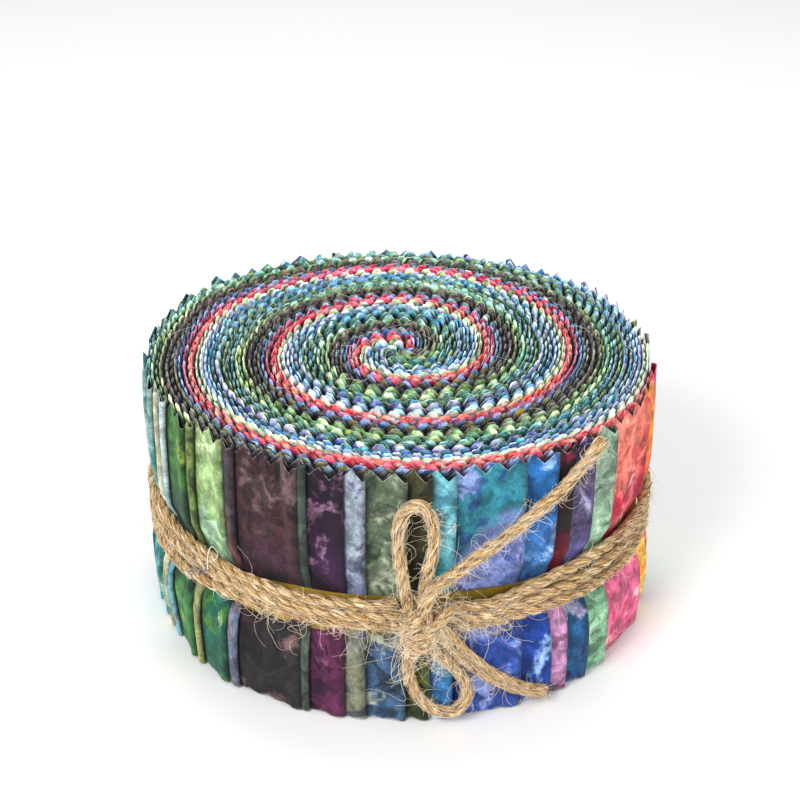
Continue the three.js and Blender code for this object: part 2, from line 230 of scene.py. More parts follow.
# The strips in the order of their folds, from the left round to the right: the bare width,
# none at the back where they share what is left, then the dye colours: the wall's top, middle
# and low part, its patches and dark veins, and the wound part's rings and their accents
Strip = namedtuple("Strip", "name width top middle low patch vein ring accent")
DYED = [
    ("pale_turquoise", 7.1, "#bce4e0 #a0d8d4 #58b8b8 #d8f2ee #4f9898 #2f7f78 #9fd4c4"),
    ("teal", 7.5, "#b0e0dc #74c4c4 #44a4a4 #d4eee8 #3f888c #1f7468 #6fc0a8"),
    ("cream", 5.6, "#f0eed8 #f4f0d8 #ece0b8 #c8d8b4 #b4b484 #4f8a6a #c4d49c"),
    ("pale_teal", 3.9, "#e0f4f8 #ccecf2 #90ccdc #f4fcfa #70b4c4 #2f7868 #a8dccc"),
    ("forest_green", 9.7, "#3c7430 #1f4a2c #3f8044 #b4c434 #0b2418 #1f5a34 #6fa878"),
    ("olive", 3.2, "#849c4c #90a854 #b0b478 #a8b454 #1f2c14 #3f5226 #94a878"),
    ("leaf_green", 9.6, "#a0be80 #a4c8a4 #1a5f4c #d8eab8 #4c7c2c #52742e #a4c490"),
    ("purple_grey", 3.0, "#4a3a44 #6a4038 #8490ac #8a6a5a #241a22 #2f2a2c #6a5a50"),
    ("plum_brown", 16.3, "#40262a #3c2030 #262426 #6c5454 #120a0e #1c1416 #4a3634"),
    ("grey_green", 1.7, "#4a5a50 #3c4a44 #5a6a5c #7a8a74 #1c2420 #2a2624 #64645a"),
    ("aubergine", 8.1, "#1c0c20 #2e1234 #5c2448 #8c6480 #100612 #1a1018 #5a3048"),
    ("blue_grey", 4.6, "#9aa6b4 #7880a0 #7c8068 #3a2e5c #2c3448 #33404f #8098ac"),
    ("sage", 8.7, "#5c6a54 #74806a #3c5878 #a0a890 #141a16 #2c3430 #74847a"),
    ("dark_olive", 5.1, "#3c3c20 #2a3222 #4f6234 #94742a #10140f #24241a #6a6434"),
    ("turquoise", 5.0, "#6fb8c4 #4fa8ba #3a74b0 #bfe0dc #1f5f78 #1f4a78 #5f9cc0"),
    ("lavender_blue", 15.8, "#2a7484 #7c8cc8 #2f4c9c #8c9cd4 #1c3470 #24508c #84a4d4"),
    ("mid_blue", 7.9, "#2468a8 #3f7cc0 #1c3f94 #94b8de #122c60 #1a4a8a #6aa0cc"),
    ("burgundy", 4.5, "#1c1c1e #7a1028 #c08ab4 #8c1c3c #2a0614 #a81c34 #d85a74"),
    ("purple", 6.7, "#5a4a6c #5f5c94 #1f5480 #a8a4c4 #201848 #7a3a6a #b0a0cc"),
    ("mint", 7.5, "#8fa890 #a4ccac #84b890 #c4dcc0 #3f5c4a #cc3c48 #e0b09c"),
    ("coral", 18.5, "#e87864 #c41a40 #d46088 #f4b4b4 #9c1030 #c41c34 #ec7c70"),
    ("orange", 9.0, "#e08a30 #e8a438 #ecc044 #d85a2c #c8541c #c8282c #ec9470"),
    ("crimson", 6.7, "#c82850 #b41c44 #ac1838 #e07a84 #6c0c24 #b81840 #e86c80"),
    ("white_mint", 0, "#c8dccc #b4d0c0 #9cc4b4 #e4e8d4 #6c9c88 #bcd8bc #e4b4b4"),
    ("lime_white", 0, "#5f7a5a #98b468 #c4dc98 #e2ecc4 #4c6a3c #c4dc98 #5f7a5a"),
    ("powder_green", 0, "#a4cca8 #94c09c #7cb08c #e8f0d8 #4c7c58 #b4d8c0 #e8f0d8"),
    ("pale_lilac", 0, "#b0a8d0 #9c94c4 #8f86b8 #e0e0ec #5c4a8c #b8b4d8 #e0e4ec"),
    ("sky_blue", 0, "#4f94c4 #3f84b8 #2f74ac #a8d0e4 #1a4c80 #4f94c4 #a8d0e4"),
    ("lagoon", 0, "#2f8fae #24749c #1f6488 #8fccd6 #0f3c5c #2474a8 #b4c8e8"),
    ("cobalt", 0, "#2a5aa8 #1f4f94 #1a3f80 #7fa0d4 #12285c #1f4f94 #b8b0e0"),
    ("deep_turquoise", 0, "#2f9aac #2488a0 #1f788c #84ccd0 #0f4c58 #2488a0 #cce8e8"),
    ("peacock", 0, "#1f7c8c #1a6478 #175468 #5cb0b8 #0b3446 #1a6478 #4f84c4"),
    ("sea_green", 0, "#2f8c74 #277c68 #206c5c #94d0b4 #0f4438 #2c8a78 #bcdcc0"),
    ("violet_blue", 0, "#5458ac #4448a0 #343c8c #a4a4dc #20245c #3c4c94 #c0b8e4"),
    ("ocean", 0, "#3fa09c #2c8c8c #24787c #b0dcd0 #105054 #2f8c94 #dcecd8"),
    ("jade", 0, "#3f9478 #2c8468 #24745c #a0d09c #124a38 #2c7a68 #5a98c8"),
    ("bottle_green", 0, "#1c5c4c #185044 #14443a #5c9c7c #0a2a24 #14443a #7cae7c"),
    ("moss", 0, "#5c7c3c #4f6e34 #42602c #a8bc60 #243818 #3f5c2c #b0c47c"),
    ("pine", 0, "#2c6c50 #246048 #1f5440 #8cbc94 #0f3424 #1f5c50 #3484a4"),
    ("steel_teal", 0, "#3f8c94 #347c88 #2a6c78 #8cc4c4 #164048 #2c6c78 #a4c8d8"),
]
STRIPS = [Strip(name, width, *dyes.split()) for name, width, dyes in DYED]
DYES = Strip._fields[2:]

# At the wall these stand lower or higher than their neighbours, in millimetres
LIFTS = {20: -0.9, 21: -1.5, 22: -2.0, 23: 0.3}
LAYER = STACK_PER_TURN / (2 * len(STRIPS))


# Shared helpers


def srgb(text):
    """A colour such as #3aa3a0 as the linear colour that a shader takes."""
    parts = [int(text[i : i + 2], 16) / 255 for i in (1, 3, 5)]
    linear = [c / 12.92 if c <= 0.04045 else ((c + 0.055) / 1.055) ** 2.4 for c in parts]
    return (*linear, 1.0)


def grey(value):
    return (value, value, value, 1.0)


def away_from(place, degrees):
    """How far round from a place, between -180 and 180 degrees."""
    return (degrees - place + 180.0) % 360.0 - 180.0


def hump(away, spread):
    """A smooth hump of height 1."""
    return np.exp(-((away / spread) ** 2))


def unit(vectors):
    return vectors / np.linalg.norm(vectors, axis=-1, keepdims=True)


def run_along(points):
    """The length of a line up to each of its points."""
    return np.concatenate([[0.0], np.cumsum(np.linalg.norm(np.diff(points, axis=0), axis=1))])


def at(place):
    """A place given by its degrees, distance out and height, as a point."""
    turn = math.radians(place.degrees)
    return np.array([place.out * math.cos(turn), place.out * math.sin(turn), place.up])


def mesh_piece(name, points, faces, material, attributes=None, sharp=38.0):
    """A mesh object from points in millimetres, with its material and point attributes."""
    mesh = bpy.data.meshes.new(name)
    mesh.from_pydata((np.asarray(points) * MM).tolist(), [], faces)
    for key, values in (attributes or {}).items():
        layer = mesh.attributes.new(key, "FLOAT", "POINT")
        layer.data.foreach_set("value", np.asarray(values, dtype=np.float32))
    mesh.polygons.foreach_set("use_smooth", [True] * len(mesh.polygons))
    mesh.set_sharp_from_angle(angle=math.radians(sharp))
    mesh.materials.append(material)
    piece = bpy.data.objects.new(name, mesh)
    bpy.context.scene.collection.objects.link(piece)
    return piece


def grid_faces(ids, turned=False):
    """Quads over a grid of point numbers, rows along the first axis."""
    a, b = ids[:-1, :-1], ids[1:, :-1]
    c, d = ids[1:, 1:], ids[:-1, 1:]
    order = (a, d, c, b) if turned else (a, b, c, d)
    return np.stack(order, axis=-1).reshape(-1, 4).tolist()


# Shader node helpers


def node_group(name, inputs, outputs):
    """An empty shader node group with the sockets named."""
    group = bpy.data.node_groups.new(name, "ShaderNodeTree")
    for label, kind, value in inputs:
        socket = group.interface.new_socket(label, in_out="INPUT", socket_type=kind)
        socket.default_value = value
    for label, kind in outputs:
        group.interface.new_socket(label, in_out="OUTPUT", socket_type=kind)
    return group, group.nodes.new("NodeGroupInput"), group.nodes.new("NodeGroupOutput")


def wire(tree, value, socket):
    """Joins an output to a socket, or sets the socket to a plain value."""
    if hasattr(value, "is_output"):
        tree.links.new(value, socket)
    else:
        socket.default_value = value


def new_node(tree, kind, inputs, **settings):
    """A shader node with its settings and inputs given; its outputs come back."""
    node = tree.nodes.new(kind)
    for key, value in settings.items():
        setattr(node, key, value)
    for key, value in inputs.items():
        wire(tree, value, node.inputs[key])
    return node.outputs


def math_node(tree, operation, *values):
    return new_node(tree, "ShaderNodeMath", dict(enumerate(values)), operation=operation)[0]


def vector_node(tree, operation, *values):
    return new_node(tree, "ShaderNodeVectorMath", dict(enumerate(values)), operation=operation)[0]


def noise_node(tree, vector, scale, detail=2.0, roughness=0.5, distortion=0.0):
    inputs = {"Vector": vector, "Scale": scale, "Detail": detail}
    inputs.update({"Roughness": roughness, "Distortion": distortion})
    return new_node(tree, "ShaderNodeTexNoise", inputs)["Fac"]


def step_node(tree, value, low, high):
    """A soft step of a value from 0 at low to 1 at high."""
    inputs = {"Value": value, "From Min": low, "From Max": high}
    return new_node(tree, "ShaderNodeMapRange", inputs, interpolation_type="SMOOTHSTEP")["Result"]


def mix_node(tree, factor, first, second, blend="MIX"):
    inputs = {"Factor": factor, "A": first, "B": second}
    outputs = new_node(tree, "ShaderNodeMix", inputs, data_type="RGBA", blend_type=blend)
    return outputs["Result"]


def attribute_node(tree, name):
    return new_node(tree, "ShaderNodeAttribute", {}, attribute_name=name)["Fac"]


def object_place(tree):
    return new_node(tree, "ShaderNodeTexCoord", {})["Object"]


def place_group(tree, group, **values):
    """A shared effect in a material, with its own values."""
    return new_node(tree, "ShaderNodeGroup", values, node_tree=group)


def cover(tree, shader, colour, height, strength, distance):
    """Joins a colour and a bump, in millimetres, to a material's shader."""
    inputs = {"Strength": strength, "Distance": distance * MM, "Height": height}
    normal = new_node(tree, "ShaderNodeBump", inputs)["Normal"]
    tree.links.new(colour, shader.inputs["Base Color"])
    tree.links.new(normal, shader.inputs["Normal"])


def plain_material(name, roughness, sheen=0.0):
    """A material with its Principled shader, ready for its colour and normal."""
    material = bpy.data.materials.new(name)
    material.use_nodes = True
    shader = material.node_tree.nodes["Principled BSDF"]
    shader.inputs["Roughness"].default_value = roughness
    shader.inputs["Specular IOR Level"].default_value = 0.25
    shader.inputs["Sheen Weight"].default_value = sheen
    shader.inputs["Sheen Roughness"].default_value = 0.5
    return material, material.node_tree, shader


# Shared effects

COLOUR = "NodeSocketColor"
NUMBER = "NodeSocketFloat"

# The wound part gets painted shade up to the tips' low end, and shows its colours from their high end
TIPS_LOW = 60.9
TIPS_HIGH = 62.9
DIM = grey(0.50)
BRIGHT = grey(1.40)
# A painted highlight that brightens the wound part's colours
PAINTED_TOP_HIGHLIGHT = grey(1.55)
GRAIN_DARK = grey(0.66)
GRAIN_LIGHT = grey(1.34)
THREAD_DARK = grey(0.6)
CUT_PALE = (0.86, 0.86, 0.80, 1.0)
PAINTED_SHADE_COLOUR = (0.006, 0.006, 0.009, 1.0)
JUTE_COOL = (0.78, 0.74, 0.70, 1.0)
JUTE_WARM = grey(1.2)


def weave_group():
    """The threads of a plain weave, as a height and a shade."""
    group, inside, outside = node_group(
        "plain_weave",
        [("Threads per metre", NUMBER, 2600.0)],
        [("Height", NUMBER), ("Shade", COLOUR)],
    )
    place = object_place(group)
    fine = noise_node(group, place, inside.outputs["Threads per metre"], 2.0, 0.6)
    slub = noise_node(group, place, 700.0, 1.0)
    height = math_node(group, "ADD", fine, math_node(group, "MULTIPLY", slub, 0.5))
    group.links.new(height, outside.inputs["Height"])
    shade = mix_node(group, step_node(group, fine, 0.3, 0.7), THREAD_DARK, BRIGHT)
    group.links.new(shade, outside.inputs["Shade"])
    return group


def batik_and_painted_light_group():
    """Mottled dye: soft bands up a bare strip, blooms, dark mottling and pale cut edges, with painted
    shade between the layers and a painted highlight on the wound part.
    """
    dyes = [(dye.title(), COLOUR, grey(0.5)) for dye in DYES]
    group, inside, outside = node_group(
        "mottled_dye_and_painted_light",
        [*dyes, ("Seed", NUMBER, 0.0), ("Patches", NUMBER, 0.5)],
        [("Color", COLOUR)],
    )
    given = inside.outputs
    place = object_place(group)
    offset = new_node(group, "ShaderNodeCombineXYZ", dict.fromkeys(range(3), given["Seed"]))
    moved = vector_node(group, "ADD", place, offset["Vector"])
    up = new_node(group, "ShaderNodeSeparateXYZ", {"Vector": place})["Z"]

    broad = noise_node(group, moved, 55.0, 2.0, 0.5, 0.6)
    bloom = noise_node(group, moved, 72.0, 4.0, 0.6, 0.5)
    shade = noise_node(group, moved, 150.0, 4.0, 0.6, 1.0)
    mottle = noise_node(group, moved, 260.0, 4.0, 0.6, 0.3)
    speck = noise_node(group, moved, 900.0, 2.0, 0.6)

    # A bare strip's colours follow its height
    level = math_node(group, "DIVIDE", up, STRIP_WIDTH * MM)
    for noise, reach in ((broad, 0.7), (mottle, 0.25)):
        wander = math_node(group, "MULTIPLY", math_node(group, "SUBTRACT", noise, 0.5), reach)
        level = math_node(group, "ADD", level, wander)
    wall = mix_node(group, step_node(group, level, 0.30, 0.42), given["Low"], given["Middle"])
    wall = mix_node(group, step_node(group, level, 0.60, 0.74), wall, given["Top"])
    threshold = math_node(group, "MULTIPLY_ADD", given["Patches"], -0.25, 0.70)
    broken = math_node(group, "MULTIPLY", math_node(group, "SUBTRACT", mottle, 0.5), 0.35)
    flecked = math_node(group, "ADD", bloom, broken)
    patch = step_node(group, flecked, threshold, math_node(group, "ADD", threshold, 0.10))
    wall = mix_node(group, math_node(group, "MULTIPLY", patch, 0.85), wall, given["Patch"])
    clouded = math_node(group, "ADD", shade, broken)
    vein = math_node(group, "MULTIPLY", step_node(group, clouded, 0.50, 0.62), 0.75)
    wall = mix_node(group, vein, wall, given["Vein"])

    # The wound part shows only its cut edge, in the ring's colours
    wound = mix_node(group, step_node(group, shade, 0.44, 0.56), given["Ring"], given["Accent"])
    wound = mix_node(group, step_node(group, flecked, 0.56, 0.66), wound, given["Patch"])
    # The wound part's colours are brightened, a painted highlight on the roll's top
    wound = mix_node(group, 1.0, wound, PAINTED_TOP_HIGHLIGHT, "MULTIPLY")
    bare = attribute_node(group, "bare")
    colours = mix_node(group, bare, wound, wall)
    light = mix_node(group, step_node(group, mottle, 0.33, 0.67), DIM, BRIGHT)
    colours = mix_node(group, 1.0, colours, light, "MULTIPLY")
    grain = mix_node(group, speck, GRAIN_DARK, GRAIN_LIGHT)
    colours = mix_node(group, 1.0, colours, grain, "MULTIPLY")

    # The cut edge frays paler, and below it and below the tips the cloth gets painted shade between
    # its neighbours
    edge = attribute_node(group, "edge")
    fray = math_node(group, "SUBTRACT", 1.0, step_node(group, edge, 0.12, 0.42))
    fray = math_node(group, "MULTIPLY", fray, step_node(group, speck, 0.36, 0.62))
    fray = math_node(group, "MULTIPLY", fray, 0.22)
    colours = mix_node(group, fray, colours, CUT_PALE)
    within = math_node(group, "MULTIPLY", math_node(group, "SUBTRACT", 1.0, bare), 0.95)
    risen = step_node(group, up, TIPS_LOW * MM, TIPS_HIGH * MM)
    sunk = math_node(group, "SUBTRACT", 1.0, risen)
    deep = math_node(group, "MAXIMUM", step_node(group, edge, 0.3, 1.5), sunk)
    deep = math_node(group, "MULTIPLY", deep, within)
    # Painted shade in the gaps beside each lap and round each fold
    painted_gap_shade = math_node(group, "MULTIPLY", attribute_node(group, "painted_gap_shade"), 0.97)
    for mask in (deep, painted_gap_shade):
        colours = mix_node(group, mask, colours, PAINTED_SHADE_COLOUR)
    group.links.new(colours, outside.inputs["Color"])
    return group


def fibre_group():
    """Jute: long pale and dark fibres that lie nearly along the twine, as colour and height, with
    painted shade in the grooves between its plies.
    """
    group, inside, outside = node_group(
        "jute_fibre",
        [
            ("Pale", COLOUR, srgb("#fff0cc")),
            ("Straw", COLOUR, srgb("#c89e60")),
            ("Deep", COLOUR, srgb("#4c3014")),
        ],
        [("Color", COLOUR), ("Height", NUMBER)],
    )
    strand = {axis: attribute_node(group, "strand_" + axis.lower()) for axis in "XYZ"}
    run = new_node(group, "ShaderNodeCombineXYZ", strand)["Vector"]
    streak = noise_node(group, run, 3.0, 3.0, 0.65, 0.15)
    fine = noise_node(group, run, 8.0, 2.0, 0.6)
    broad = noise_node(group, run, 0.9, 2.0, 0.5)
    given = inside.outputs
    tone = math_node(group, "ADD", streak, math_node(group, "MULTIPLY", fine, 0.4))
    colours = mix_node(group, step_node(group, tone, 0.56, 0.68), given["Deep"], given["Straw"])
    colours = mix_node(group, step_node(group, tone, 0.72, 0.84), colours, given["Pale"])
    warm = mix_node(group, broad, JUTE_COOL, JUTE_WARM)
    colours = mix_node(group, 1.0, colours, warm, "MULTIPLY")
    # Painted shade in the grooves where the plies meet
    groove = math_node(group, "MULTIPLY", attribute_node(group, "groove"), 0.85)
    colours = mix_node(group, groove, colours, srgb("#3c2610"))
    group.links.new(colours, outside.inputs["Color"])
    group.links.new(tone, outside.inputs["Height"])
    return group


def strip_material(strip, number, batik_and_painted_light, weave):
    material, tree, shader = plain_material(f"cotton_{strip.name}", 0.82, 0.08)
    dyes = {dye.title(): srgb(getattr(strip, dye)) for dye in DYES}
    dye = place_group(tree, batik_and_painted_light, **dyes, Seed=number * 0.37, Patches=0.62)
    threads = place_group(tree, weave)
    colour = mix_node(tree, 0.5, dye["Color"], threads["Shade"], "MULTIPLY")
    cover(tree, shader, colour, threads["Height"], 0.35, 0.12)
    return material


def twine_material(fibre):
    material, tree, shader = plain_material("jute_twine", 0.88, 0.15)
    strands = place_group(tree, fibre)
    cover(tree, shader, strands["Color"], strands["Height"], 1.0, 0.45)
    return material


def ribbon_material(weave):
    material, tree, shader = plain_material("gold_ribbon", 0.5)
    threads = place_group(tree, weave)
    tone = noise_node(tree, object_place(tree), 90.0, 2.0)
    colour = mix_node(tree, step_node(tree, tone, 0.3, 0.7), srgb("#756018"), srgb("#a48834"))
    colour = mix_node(tree, 0.4, colour, threads["Shade"], "MULTIPLY")
    cover(tree, shader, colour, threads["Height"], 0.2, 0.1)
    return material


# The wound strips


def fold_angles():
    """Where each strip's fold lies, in degrees from the first one round."""
    shown = sum(strip.width for strip in STRIPS)
    hidden = sum(1 for strip in STRIPS if not strip.width)
    spare = (math.tau * ROLL_RADIUS - shown) / hidden
    widths = [strip.width or spare for strip in STRIPS]
    return FIRST_FOLD + np.degrees(np.cumsum(widths) / ROLL_RADIUS)


FOLDS = fold_angles()
LAYERS = 2 * len(STRIPS)


def layers_ended(degrees):
    """How many layers have ended at their folds by this angle, counted over all the turns."""
    turns = np.arange(-5, 2)
    angles = (FOLDS[None, :] + 360.0 * turns[:, None]).ravel()
    counts = (2.0 * np.arange(len(STRIPS))[None, :] + LAYERS * turns[:, None]).ravel()
    return np.interp(degrees, angles, counts)


def even_count(degrees):
    """The same count if every strip were bare for an equal width."""
    return LAYERS * (degrees - FOLDS.mean()) / 360.0 + LAYERS / 2 - 1


def out_of_round(degrees, radius):
    """How far a layer lies outside a round one: the back stands out a little."""
    corners = 0.0
    for corner in CORNERS:
        away = away_from(corner.degrees, degrees)
        corners = corners + corner.reach * hump(away, corner.spread)
    return corners * np.clip(radius / ROLL_RADIUS, 0, 1) ** 2


def wound_radius(layer, degrees):
    """A layer's distance from the axis, and its depth under the wall, before it is pinched."""
    depth = (layer - layers_ended(degrees)) * LAYER
    evened = (even_count(degrees) - layers_ended(degrees)) * LAYER
    radius = ROLL_RADIUS - depth + evened * (1 - np.exp(-depth / ROUNDING_DEPTH))
    swell = BULGE_REACH * hump(away_from(BULGE_AT, degrees), BULGE_SPREAD)
    swell = swell * np.sin(np.pi * np.clip(radius, 0, ROLL_RADIUS) / ROLL_RADIUS)
    return radius + swell + out_of_round(degrees, radius), depth


def uneven_lift(rng):
    """How much higher than the rest a bundle or a strip stands."""
    return float(np.clip(LIFT_SPREAD * rng.standard_normal(), -LIFT_MOST, LIFT_MOST))


Bundle = namedtuple("Bundle", "middle half lift degrees teeth")


def wound_bundles(rng):
    """For each strip its bundle: the middle layer, how many lie to each side, its lift, and
    the count of teeth by the angle."""
    bundles = []
    first = 0
    for size in BUNDLES:
        last = first + size - 1
        middle = first + last + 0.5
        start = FOLDS[last] - 360.0 * TURNS_WOUND - BUNDLE_BEYOND
        degrees = np.linspace(start, FOLDS[last], BUNDLE_POINTS)
        radius, depth = wound_radius(middle, degrees)
        radius = np.clip(radius, HEART_RADIUS, ROLL_RADIUS)
        steps = np.diff(np.radians(degrees)) * (radius[1:] + radius[:-1]) / 2
        pitch = np.interp(depth[1:], GATHERED_DEPTHS, [TOOTH_PITCH, GATHERED_PITCH])
        teeth = np.concatenate([[0.0], np.cumsum(steps / pitch)])
        shift = BUNDLE_SHIFT * len(bundles) / USUAL_BUNDLE + rng.uniform(-SHIFT_SPREAD, SHIFT_SPREAD)
        teeth += shift - teeth[-1]
        lift = uneven_lift(rng)
        bundles += [Bundle(middle, size - 0.5, lift, degrees, teeth)] * size
        first += size
    return bundles


def layer_run(layer, bundle, phase):
    """One layer from the heart out to its fold, with points wherever a tooth has a corner."""
    end = FOLDS[layer // 2]
    degrees = np.linspace(end - 360.0 * TURNS_WOUND, end, SPIRAL_POINTS)
    radius, depth = wound_radius(layer, degrees)
    inside = np.nonzero(radius < HEART_RADIUS)[0]
    start = inside[-1] + 1 if len(inside) else 0
    degrees, radius, depth = degrees[start:], radius[start:], depth[start:]
    turn = np.radians(degrees)
    line = np.stack([radius * np.cos(turn), radius * np.sin(turn)], axis=1)
    run = run_along(line)
    length = run[-1]
    teeth = np.interp(degrees, bundle.degrees, bundle.teeth)
    teeth += TOOTH_LEAN * (layer - bundle.middle) + phase

    def at_shares(share, within):
        marks = np.arange(math.ceil(teeth[0] / share), teeth[-1] / share) * share
        spots = np.interp(marks, teeth, run)
        return spots[spots < np.interp(within, radius, run)]

    valleys = np.arange(math.floor(teeth[0]) - 1, teeth[-1] + 1)
    tips = np.interp(valleys + 0.5, teeth, depth)
    sharp = valleys[tips < SHARP_DEPTH] + 0.5
    blunt = valleys[tips >= SHARP_DEPTH]
    marks = np.sort(np.concatenate([valleys, sharp, *(blunt + share for share in NUB_CORNERS)]))
    marks = marks[(marks > teeth[0]) & (marks < teeth[-1])]
    stations = np.interp(marks, teeth, run)
    extra = [at_shares(*heart) for heart in HEART_MARKS]
    if layer % 2 == 0:
        before = FOLDS[layer // 2 - 1] if layer else FIRST_FOLD
        bare_from = np.interp(before, degrees, run)
        extra.append(bare_from + BARE_MARKS)
        extra.append(length - FOLD_MARKS)
        extra.append(np.arange(bare_from + EVEN_FROM, length - FOLD_MARKS[0], EVEN_EACH))
    else:
        bare_from = length + 1.0
        extra.append(length - INNER_MARKS)
    for marks in extra:
        away = np.abs(marks[:, None] - stations[None, :]).min(axis=1) if len(marks) else marks
        stations = np.sort(np.concatenate([stations, marks[away > MARKS_APART]]))
    stations = stations[(stations > 0.3) & (stations < length - 0.1)]
    stations = np.concatenate([[0.0], stations, [length]])
    # Painted shade beside a lap: full under the previous strip's fold, fading after it
    past = stations - bare_from
    beside = np.where(past >= 0, np.exp(-np.maximum(past, 0) / LAP_SHADE_REACH), 1.0)
    return {
        "run": stations,
        "length": length,
        "degrees": np.interp(stations, run, degrees),
        "radius": np.interp(stations, run, radius),
        "depth": np.interp(stations, run, depth),
        "teeth": np.interp(stations, run, teeth),
        "bare": np.clip(past / 0.1 + 1.0, 0, 1),
        "painted_gap_shade": beside * (past >= -LAP_SHADE_BEFORE),
    }


def tooth(place, depth):
    """The pinked edge's height over its valleys, as a share: worn rounder in the wound part."""
    height = 1.0 - np.abs(2.0 * (place % 1.0) - 1.0)
    worn = 1.0 + (TIP_ROUND - 1.0) * np.clip(depth / SHARP_DEPTH - 1.0, 0, 1)
    return np.minimum(height * worn, 1.0)


def wall_inset(degrees, up, depth):
    """How far the twine and the floor draw a layer in, less the deeper it lies."""
    share = np.clip(1.0 - depth / WAIST_DEPTH, 0.0, 1.0)
    inset = np.interp(up, WAIST_HEIGHTS, WAIST_INSETS)
    for lean in FLOOR_LEANS:
        away = away_from(lean.degrees, degrees)
        near = hump(away, lean.spread) * hump(up - lean.up, FLOOR_LEAN_RISE)
        inset = inset - lean.reach * near
    return inset * share


def wave_at(wave, turn, up):
    bend = wave.bend * np.sin(wave.bends * turn)
    return wave.reach * np.sin(wave.count * turn + up / wave.climb + bend)


def ripple(degrees, up, depth):
    """Slow unevenness of the wall, the same for all the layers under one place."""
    turn = np.radians(degrees)
    waves = sum(wave_at(wave, turn, up) for wave in WALL_WAVES)
    beside = sum(hump(up - place.up, place.spread) for place in GATHERED_AT)
    waves = waves + wave_at(GATHERS, turn, up) * beside
    tied = np.clip(np.interp(up, WAIST_HEIGHTS, WAIST_INSETS) / WAIST_MOST, 0, 1)
    return waves * (1 - tied) * np.clip(1.0 - depth / WAVE_DEPTH, 0, 1) + creases(degrees, up, depth)


def creases(degrees, up, depth):
    """The upright creases of one wide strip, which lean a little and fade towards the twine."""
    lean = (up - CREASE_LEVEL) / CREASE_LEAN
    away = away_from(CREASE_AT, degrees) + lean
    fade = hump(away - CREASE_MIDDLE, CREASE_SPREAD)
    near = np.clip((up - CREASE_FROM) / CREASE_RISE, 0, 1) * np.clip(1.0 - depth / SKIN, 0, 1)
    return CREASE_REACH * np.cos(math.tau * away / CREASE_WIDE) * fade * near


def folded_run(number, outer, inner):
    """A strip's two layers as one run, with the half circle of its fold between them."""
    bend = np.radians(np.linspace(90, -90, FOLD_POINTS + 2))[1:-1]
    swell = FOLD_PUFF * (0.5 + 0.5 * np.sin(bend))
    ends = outer["radius"][-1] + FOLD_PUFF, inner["radius"][-1]
    middle, half = (ends[0] + ends[1]) / 2, (ends[0] - ends[1]) / 2
    left = outer["length"] - outer["run"]
    none = 0 * inner["run"]

    def whole(key, of_fold):
        return np.concatenate([outer[key], np.broadcast_to(of_fold, FOLD_POINTS), inner[key][::-1]])

    # Painted shade on the outer layer near its fold, growing round the fold's turn
    shaded = FOLD_SHADE * np.exp(-left / FOLD_SHADE_REACH)
    turned = FOLD_SHADE + (1 - FOLD_SHADE) * np.linspace(0.0, 1.0, FOLD_POINTS) ** 2
    outer_teeth = tooth(outer["teeth"], outer["depth"])
    inner_teeth = tooth(inner["teeth"], inner["depth"])[::-1]
    across = np.linspace(outer_teeth[-1], inner_teeth[0], FOLD_POINTS)
    counts = [len(outer["run"]), FOLD_POINTS, len(inner["run"])]
    return {
        "degrees": whole("degrees", FOLDS[number] + np.degrees(half * np.cos(bend) / ROLL_RADIUS)),
        "out": whole("radius", middle + half * np.sin(bend) - swell),
        "depth": whole("depth", outer["depth"][-1]),
        "run": whole("run", outer["length"]),
        "puff": np.concatenate([FOLD_PUFF * hump(left, FOLD_PUFF_REACH), swell, none]),
        "bare": np.concatenate([outer["bare"], np.ones(FOLD_POINTS), none]),
        "painted_gap_shade": np.concatenate([np.maximum(outer["painted_gap_shade"], shaded), turned, none]),
        "teeth": np.concatenate([outer_teeth, across, inner_teeth]),
        "layer": np.repeat([2 * number, 2 * number + 0.5, 2 * number + 1], counts),
        "part": np.repeat([0, 0, 1], counts),
    }


def cut_edges(folded, bundle, lift, sway, flips):
    """The heights of the toothed top and foot, and how far the tips lean out."""
    run, depth, teeth = folded["run"], folded["depth"], folded["teeth"]
    from_middle = folded["layer"] - bundle.middle
    swing = lift + 0.20 * np.sin(run / 31.0 + sway[0]) + 0.10 * np.sin(run / 11.0 + sway[1])
    crown = BUNDLE_CROWN * (from_middle / bundle.half) ** 2 * np.clip(depth / CROWN_DEPTH, 0, 1)
    top = STRIP_WIDTH - TOP_BELOW - crown - TOOTH_DEPTH * (1 - teeth) + swing
    foot_teeth = np.where(flips[folded["part"]], 1 - teeth, teeth)
    foot = np.maximum(FOOT_LEAST, FOOT_ABOVE + FOOT_DEPTH * (1 - foot_teeth) + 0.2 * swing)
    uneven = 1.0 + 0.3 * np.sin(folded["degrees"] / 23.0 + 1.7 * bundle.middle)
    lean = TIP_LEAN * np.clip(depth / LEAN_DEPTH, 0, 1) * uneven * teeth
    top -= TIP_DROP * lean
    curl = TIP_GATHER * from_middle * LAYER * teeth + lean
    curl += 0.12 * teeth * np.sin(run / 9.0 + sway[2])
    return top, foot, foot_teeth, curl


def point_zones(depth):
    """Spans of a strip, and their rows of points: all rows only where it lies near the wall."""
    full = depth < WAIST_DEPTH + 0.4
    first = int(np.argmax(full))
    last = len(full) - 1 - int(np.argmax(full[::-1]))
    return [(0, first, ROWS_FEW), (first, last, ROWS_FULL), (last, len(full) - 1, ROWS_FEW)]


